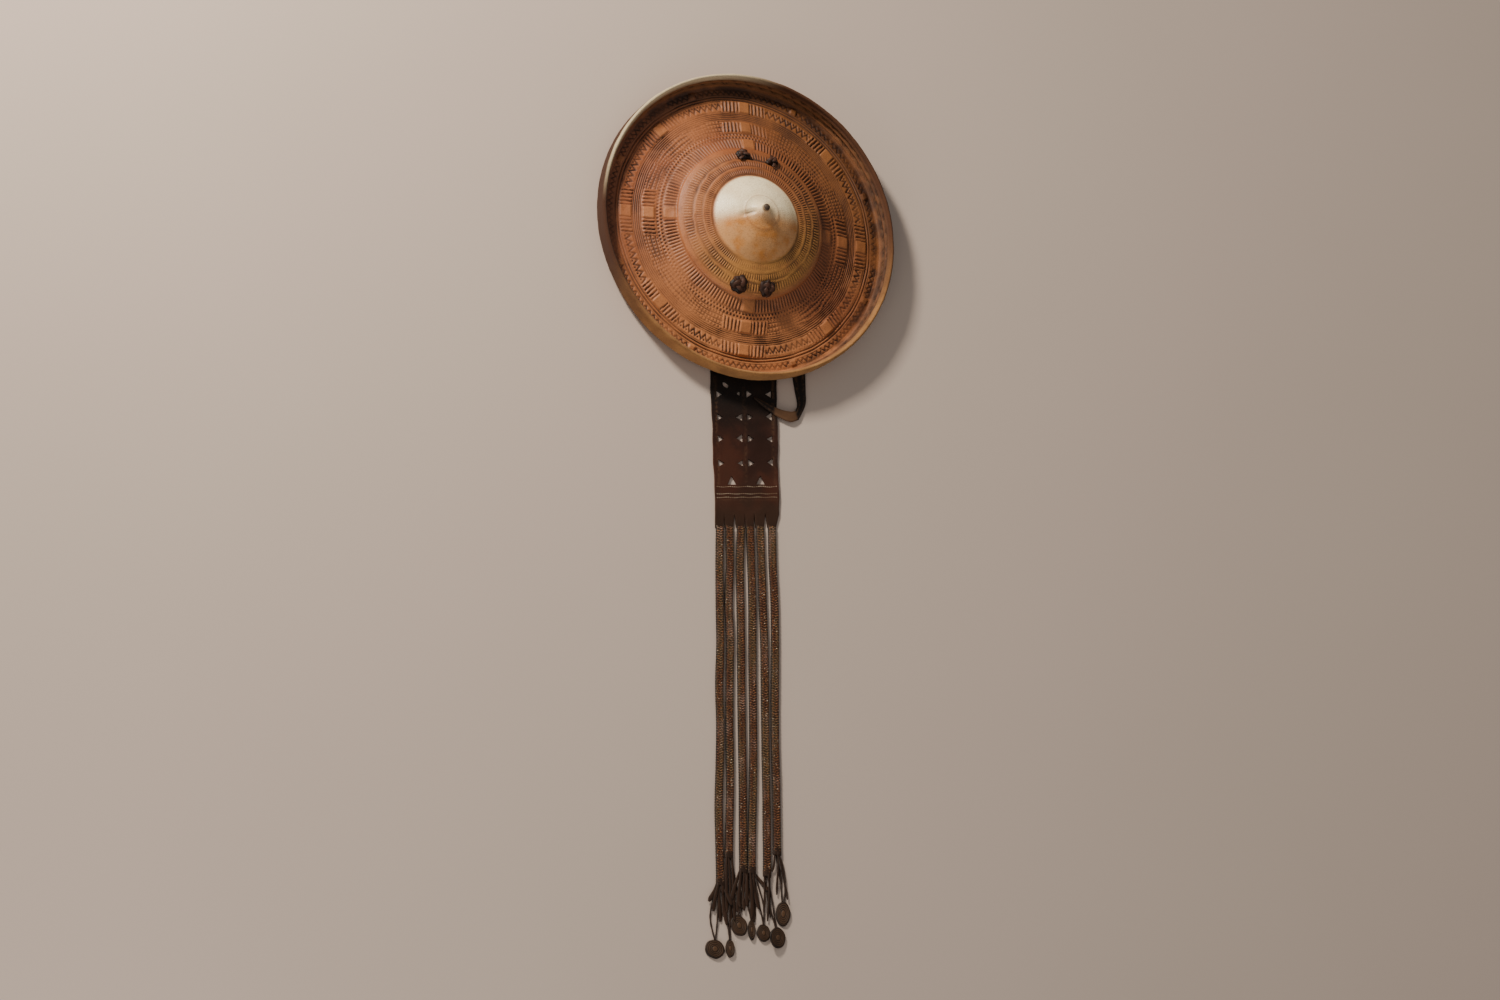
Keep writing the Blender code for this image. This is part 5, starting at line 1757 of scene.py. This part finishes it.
@dataclass(frozen=True)
class ThongKnot:
    """A thong end drawn through the hide and pressed down in a flat knot on its face."""

    number: int
    place: Pair
    spread: float
    width_share: float
    turn_degrees: float
    height: float = 0.0070
    face_level: float = 0.05138
    slope: float = -0.49
    loop_steps: int = 64
    strand_sides: int = 10
    core_columns: int = 36
    core_rings: tuple[tuple[float, float, float], ...] = (
        (1.0, -0.06, 0.2), (1.04, 0.22, 0.5), (0.97, 0.52, 0.6), (0.76, 0.76, 0.5), (0.44, 0.86, 0.2),
        (0.12, 0.80, 0.2),
    )
    tip_shape: StripShape = StripShape(0.0030, 0.0010)
    tip_spacing: float = 0.0015

    def surface(self) -> tuple[Vector, Vector, Vector, Vector]:
        """Where the knot sits: its place on the face, and the ways across, up the slope and out."""
        outward = Vector((self.place[0], self.place[1], 0.0)).normalized()
        across = Vector((-outward.y, outward.x, 0.0))
        along = (outward + Vector((0.0, 0.0, self.slope))).normalized()
        normal = across.cross(along)
        if normal.z < 0:
            normal.negate()
        return Vector((*self.place, self.face_level)), across, along, normal

    def build(self, material: Material) -> Item:
        """The knot: a pressed three-lobed tie with a tucked middle and two cut ends."""
        seat, across, along, normal = self.surface()
        turn = radians(self.turn_degrees)
        first = across * cos(turn) + along * sin(turn)
        second = along * cos(turn) - across * sin(turn)
        parts = [self.tie(seat, first, second, normal), self.core(seat, first, second, normal)]
        high = normal * (self.height * 0.75)
        for way in (-1.0, 1.0):
            start = seat + first * (way * self.spread * 0.30) + high
            middle = seat + first * (way * self.spread * 0.70) + second * (way * 0.003) + high
            finish = seat + first * (way * self.spread * 0.90) + second * (way * 0.007) + normal * 0.0030
            line = smooth_line(np.array([tuple(start), tuple(middle), tuple(finish)]), self.tip_spacing)
            widths = [1.0 - 0.25 * index / len(line) for index in range(len(line))]
            parts.append(self.tip_shape.piece(f"tip_{self.number}", line, normal, widths))
        piece = join_pieces(f"face_knot_{self.number}", parts)
        return dress(piece, material)

    def tie(self, seat: Vector, first: Vector, second: Vector, normal: Vector) -> Item:
        """The knot's three lobes: one thick strand that closes on itself."""
        wide, tall = self.spread * self.width_share * 0.6, self.spread * 0.6
        steps, sides = self.loop_steps, self.strand_sides
        loop = []
        for angle in even_angles(steps):
            x = (sin(angle) + 1.75 * sin(2 * angle)) / 2.75
            y = (cos(angle) - 1.75 * cos(2 * angle)) / 2.75
            z = (-sin(3 * angle) * 0.32 + 0.50) * self.height + 0.0022
            loop.append(seat + first * (x * wide) + second * (y * tall) + normal * z)
        points, faces = [], []
        for step, centre in enumerate(loop):
            forward = (loop[(step + 1) % steps] - loop[step - 1]).normalized()
            side = forward.cross(normal).normalized()
            top = side.cross(forward).normalized()
            fold = 1.0 + 0.22 * sin(step * 0.61 + self.number * 2.0)
            for angle in even_angles(sides):
                pleat = 1.0 + 0.10 * sin(3 * angle + step * 0.35)
                out = side * (cos(angle) * self.spread * 0.30 * fold * pleat)
                points.append(centre + out + top * (sin(angle) * self.height * 0.36 * pleat))
            near, far = step * sides, ((step + 1) % steps) * sides
            faces.extend((near + k, near + (k + 1) % sides, far + (k + 1) % sides, far + k) for k in range(sides))
        lift = [0.35 + 0.65 * max(0.0, sin(angle)) for angle in even_angles(sides)] * steps
        piece = add_piece(f"tie_{self.number}", points, faces, {"lift": lift})
        recalculate(piece)
        return piece

    def core(self, seat: Vector, first: Vector, second: Vector, normal: Vector) -> Item:
        """The puckered leather in the knot's middle, which closes the hole."""
        rings = []
        lifts: list[float] = []
        for share, up, lift in self.core_rings:
            ring = []
            for angle in even_angles(self.core_columns):
                pucker = 1.0 + (0.06 * sin(7 * angle + self.number) + 0.07 * sin(3 * angle)) * share
                lump = up * (1.0 + 0.16 * sin(5 * angle + self.number * 1.3))
                across = first * (cos(angle) * self.spread * self.width_share * share * pucker)
                along = second * (sin(angle) * self.spread * share * pucker)
                ring.append(seat + across + along + normal * (lump * self.height))
            rings.append(ring)
            lifts.extend([lift] * self.core_columns)
        return skin_piece(f"core_{self.number}", rings, {"lift": lifts + [0.2, 0.2]})


KNOTS = (
    ThongKnot(1, KNOT_PLACES[0], 0.0155, 0.95, 12.0),
    ThongKnot(2, KNOT_PLACES[1], 0.0145, 0.95, 75.0),
    ThongKnot(3, KNOT_PLACES[2], 0.0130, 0.66, -75.0),
    ThongKnot(4, KNOT_PLACES[3], 0.0130, 0.52, 50.0),
)


@dataclass(frozen=True)
class WoundGrip:
    """The hand grip behind the hide: a bar wound with a leather strip, held by its four thongs. Metres."""

    length: float = 0.172
    width: float = 0.026
    height: float = 0.016
    pitch: float = 0.0125
    thong_radius: float = 0.0045
    rows: int = 150
    thong_levels: tuple[float, ...] = (0.0161, 0.0380, 0.0525)
    thong_spacing: float = 0.0016

    def bar(self) -> Item:
        """The wound bar, flat below."""
        section = ((-0.5, 0.05), (-0.44, 0.0), (0.0, 0.0), (0.44, 0.0), (0.5, 0.05), (0.5, 0.45), (0.44, 0.68),
                   (0.33, 0.87), (0.17, 0.97), (0.0, 1.0), (-0.17, 0.97), (-0.33, 0.87), (-0.44, 0.68), (-0.5, 0.45))
        rings = []
        lifts: list[float] = []
        for row in range(self.rows + 1):
            share = row / self.rows - 0.5
            full = 1.0 - 0.28 * max(0.0, (abs(share) - 0.40) / 0.10) ** 1.6
            ring = []
            for index, (out, up) in enumerate(section):
                wind = (share * self.length / self.pitch + index / len(section)) % 1.0
                overlap = 0.93 + 0.07 * min(1.0, wind * 1.6) if wind < 0.94 else 1.0 - (wind - 0.94) * 1.1
                across = out * self.width * full * (0.96 + 0.04 * overlap)
                lift = up if up <= 0.05 else up * overlap
                ring.append(Vector((across, share * self.length, max(0.0004, lift * self.height * full))))
                lifts.append(0.15 if wind < 0.10 else 0.45 + 0.5 * wind)
            rings.append(ring)
        return skin_piece("bar", rings, {"lift": lifts + [0.3, 0.3]})

    def thong(self, number: int, place: Pair) -> Item:
        """One twisted thong from the bar's end up to its hole in the hide."""
        end = copysign(1.0, place[1])
        side = -1.0 if number in (0, 2) else 1.0
        low = self.height * 0.45
        points = np.array([
            (side * 0.0062, end * (self.length / 2 - 0.012), low),
            (side * 0.0087, end * (self.length / 2 + 0.0045), low),
            *((*place, level) for level in self.thong_levels),
        ])
        line = smooth_line(points, self.thong_spacing)
        rings = []
        lifts: list[float] = []
        guide = Vector((1.0, 0.0, 0.0))
        for index, centre in enumerate(line):
            forward = way_along(line, index)
            side_way = (guide - forward * guide.dot(forward)).normalized()
            top = forward.cross(side_way)
            ring = []
            for angle in even_angles(16):
                groove = 1.0 - 0.16 * abs(cos(1.5 * angle - index * 0.42)) ** 6
                out = side_way * cos(angle) + top * sin(angle)
                ring.append(Vector(centre) + out * self.thong_radius * groove)
                lifts.append(groove)
            rings.append(ring)
        return skin_piece(f"thong_{number}", rings, {"lift": lifts + [0.3, 0.3]})

    def build(self, material: Material) -> Item:
        """The grip with its thongs, in place of its solid."""
        parts = [self.bar()] + [self.thong(number, place) for number, place in enumerate(KNOT_PLACES)]
        piece = join_pieces("wound_grip", parts)
        dress(piece, material)
        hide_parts("hand_grip")
        return piece


@dataclass(frozen=True)
class Studio:
    """The camera at the photograph's angle, soft lights and a plain pale floor."""

    lean_degrees: float = 31.0
    axis_degrees: float = 37.0
    distance: float = 42.3
    lens: float = 600.0
    sensor: float = 36.0
    toward: Pair = (0.7510, 0.6602)
    aim_right: float = -0.0110
    aim_up: float = -0.4760
    floor_half: float = 9.0

    def directions(self) -> tuple[Vector, Vector, Vector]:
        """The camera's right, its up, and the way from the shield to the camera."""
        lean, axis = radians(self.lean_degrees), radians(self.axis_degrees)
        toward = Vector((*self.toward, 0.0))
        beside = Vector((-toward.y, toward.x, 0.0))
        tilted = toward * cos(lean) + Vector((0, 0, sin(lean)))
        right = tilted * cos(axis) - beside * sin(axis)
        up = tilted * sin(axis) + beside * cos(axis)
        back = toward * -sin(lean) + Vector((0, 0, cos(lean)))
        return right, up, back

    def camera(self) -> None:
        """Place the camera and make it the scene's."""
        right, up, back = self.directions()
        aim = Vector((0.0, 0.0, FOOT_LEVEL)) + right * self.aim_right + up * self.aim_up
        data = bpy.data.cameras.new("photo_camera")
        data.lens = self.lens
        data.sensor_width = self.sensor
        data.clip_end = 100.0
        item = place_item("photo_camera", data)
        turn = Matrix((right, up, back)).transposed().to_4x4()
        item.matrix_world = Matrix.Translation(aim + back * self.distance) @ turn
        bpy.context.scene.camera = item

    def lamp(self, name: str, place: Vector, aim: Vector, power: float, size: float, colour: Sequence[float]) -> None:
        """A soft square light turned to a point."""
        data = bpy.data.lights.new(name, "AREA")
        data.energy = power
        data.size = size
        data.color = colour
        item = place_item(name, data)
        item.location = place
        item.rotation_euler = (aim - place).to_track_quat("-Z", "Y").to_euler()

    def lights(self) -> None:
        """A warm key from above the boss's upper left, a low fill and a soft surrounding."""
        right, up, back = self.directions()
        aim = Vector((0.0, -0.35, 0.0))
        self.lamp("key", aim - right * 1.4 + up * 3.0 + back * 1.5, aim, 190.0, 0.5, (1.0, 0.92, 0.80))
        self.lamp("fill", aim - right * 1.2 - up * 2.2 + back * 2.4, aim, 46.0, 2.0, (1.0, 0.95, 0.88))
        world = bpy.data.worlds.new("soft_room")
        world.use_nodes = True
        background = world.node_tree.nodes["Background"]
        fill_inputs(background, {"Color": (0.92, 0.90, 0.87, 1.0), "Strength": 0.30})
        bpy.context.scene.world = world

    def floor(self) -> None:
        """The floor, which isn't part of the object."""
        half = self.floor_half
        points = [(-half, -half, 0.0), (half, -half, 0.0), (half, half, 0.0), (-half, half, 0.0)]
        mesh = bpy.data.meshes.new("floor")
        mesh.from_pydata(points, [], [(0, 1, 2, 3)])
        mesh.materials.append(FloorFinish().material())
        place_item("floor", mesh)

    def build(self) -> None:
        """Camera, lights and floor."""
        self.camera()
        self.lights()
        self.floor()


def main() -> None:
    """Build the studio and the shield's pieces in order."""
    logging.basicConfig(level=logging.INFO, format="%(name)s: %(message)s")
    Studio().build()
    plait_leather = PlaitFinish().material()
    thong_leather, disc_leather, knot_leather, grip_leather = (finish.material() for finish in DARK_LEATHERS)
    strap_leather = StrapLeatherFinish("strap_finish").material()
    plaits = {plait.number: (plait, *plait.build(plait_leather)) for plait in PLAITS}
    tied: dict[int, list[Item]] = {number: [] for number in plaits}
    for plait, _, line in plaits.values():
        tied[plait.number].append(plait.whipping(line, thong_leather))
    for tassel in TASSELS:
        tied[tassel.plait].append(tassel.build(Vector(plaits[tassel.plait][2][-1]), thong_leather))
    for disc in DISCS:
        tied[disc.measured_with or disc.plait].append(disc.disc(disc_leather))
        tied[disc.plait].append(disc.thongs(Vector(plaits[disc.plait][2][-1]), thong_leather))
    for plait, piece, line in plaits.values():
        plait.declare(piece, line, tied[plait.number])
    panel = SlingPanel()
    leather = panel.build(strap_leather)
    stitches = panel.stitches(ThreadFinish().material())
    CarryingStrap().build(strap_leather)
    grip = WoundGrip().build(grip_leather)
    for knot in KNOTS:
        knot.build(knot_leather)
    panel.declare(leather, [stitches], [grip])
    TooledHide().build()


if __name__ == "__main__":
    main()
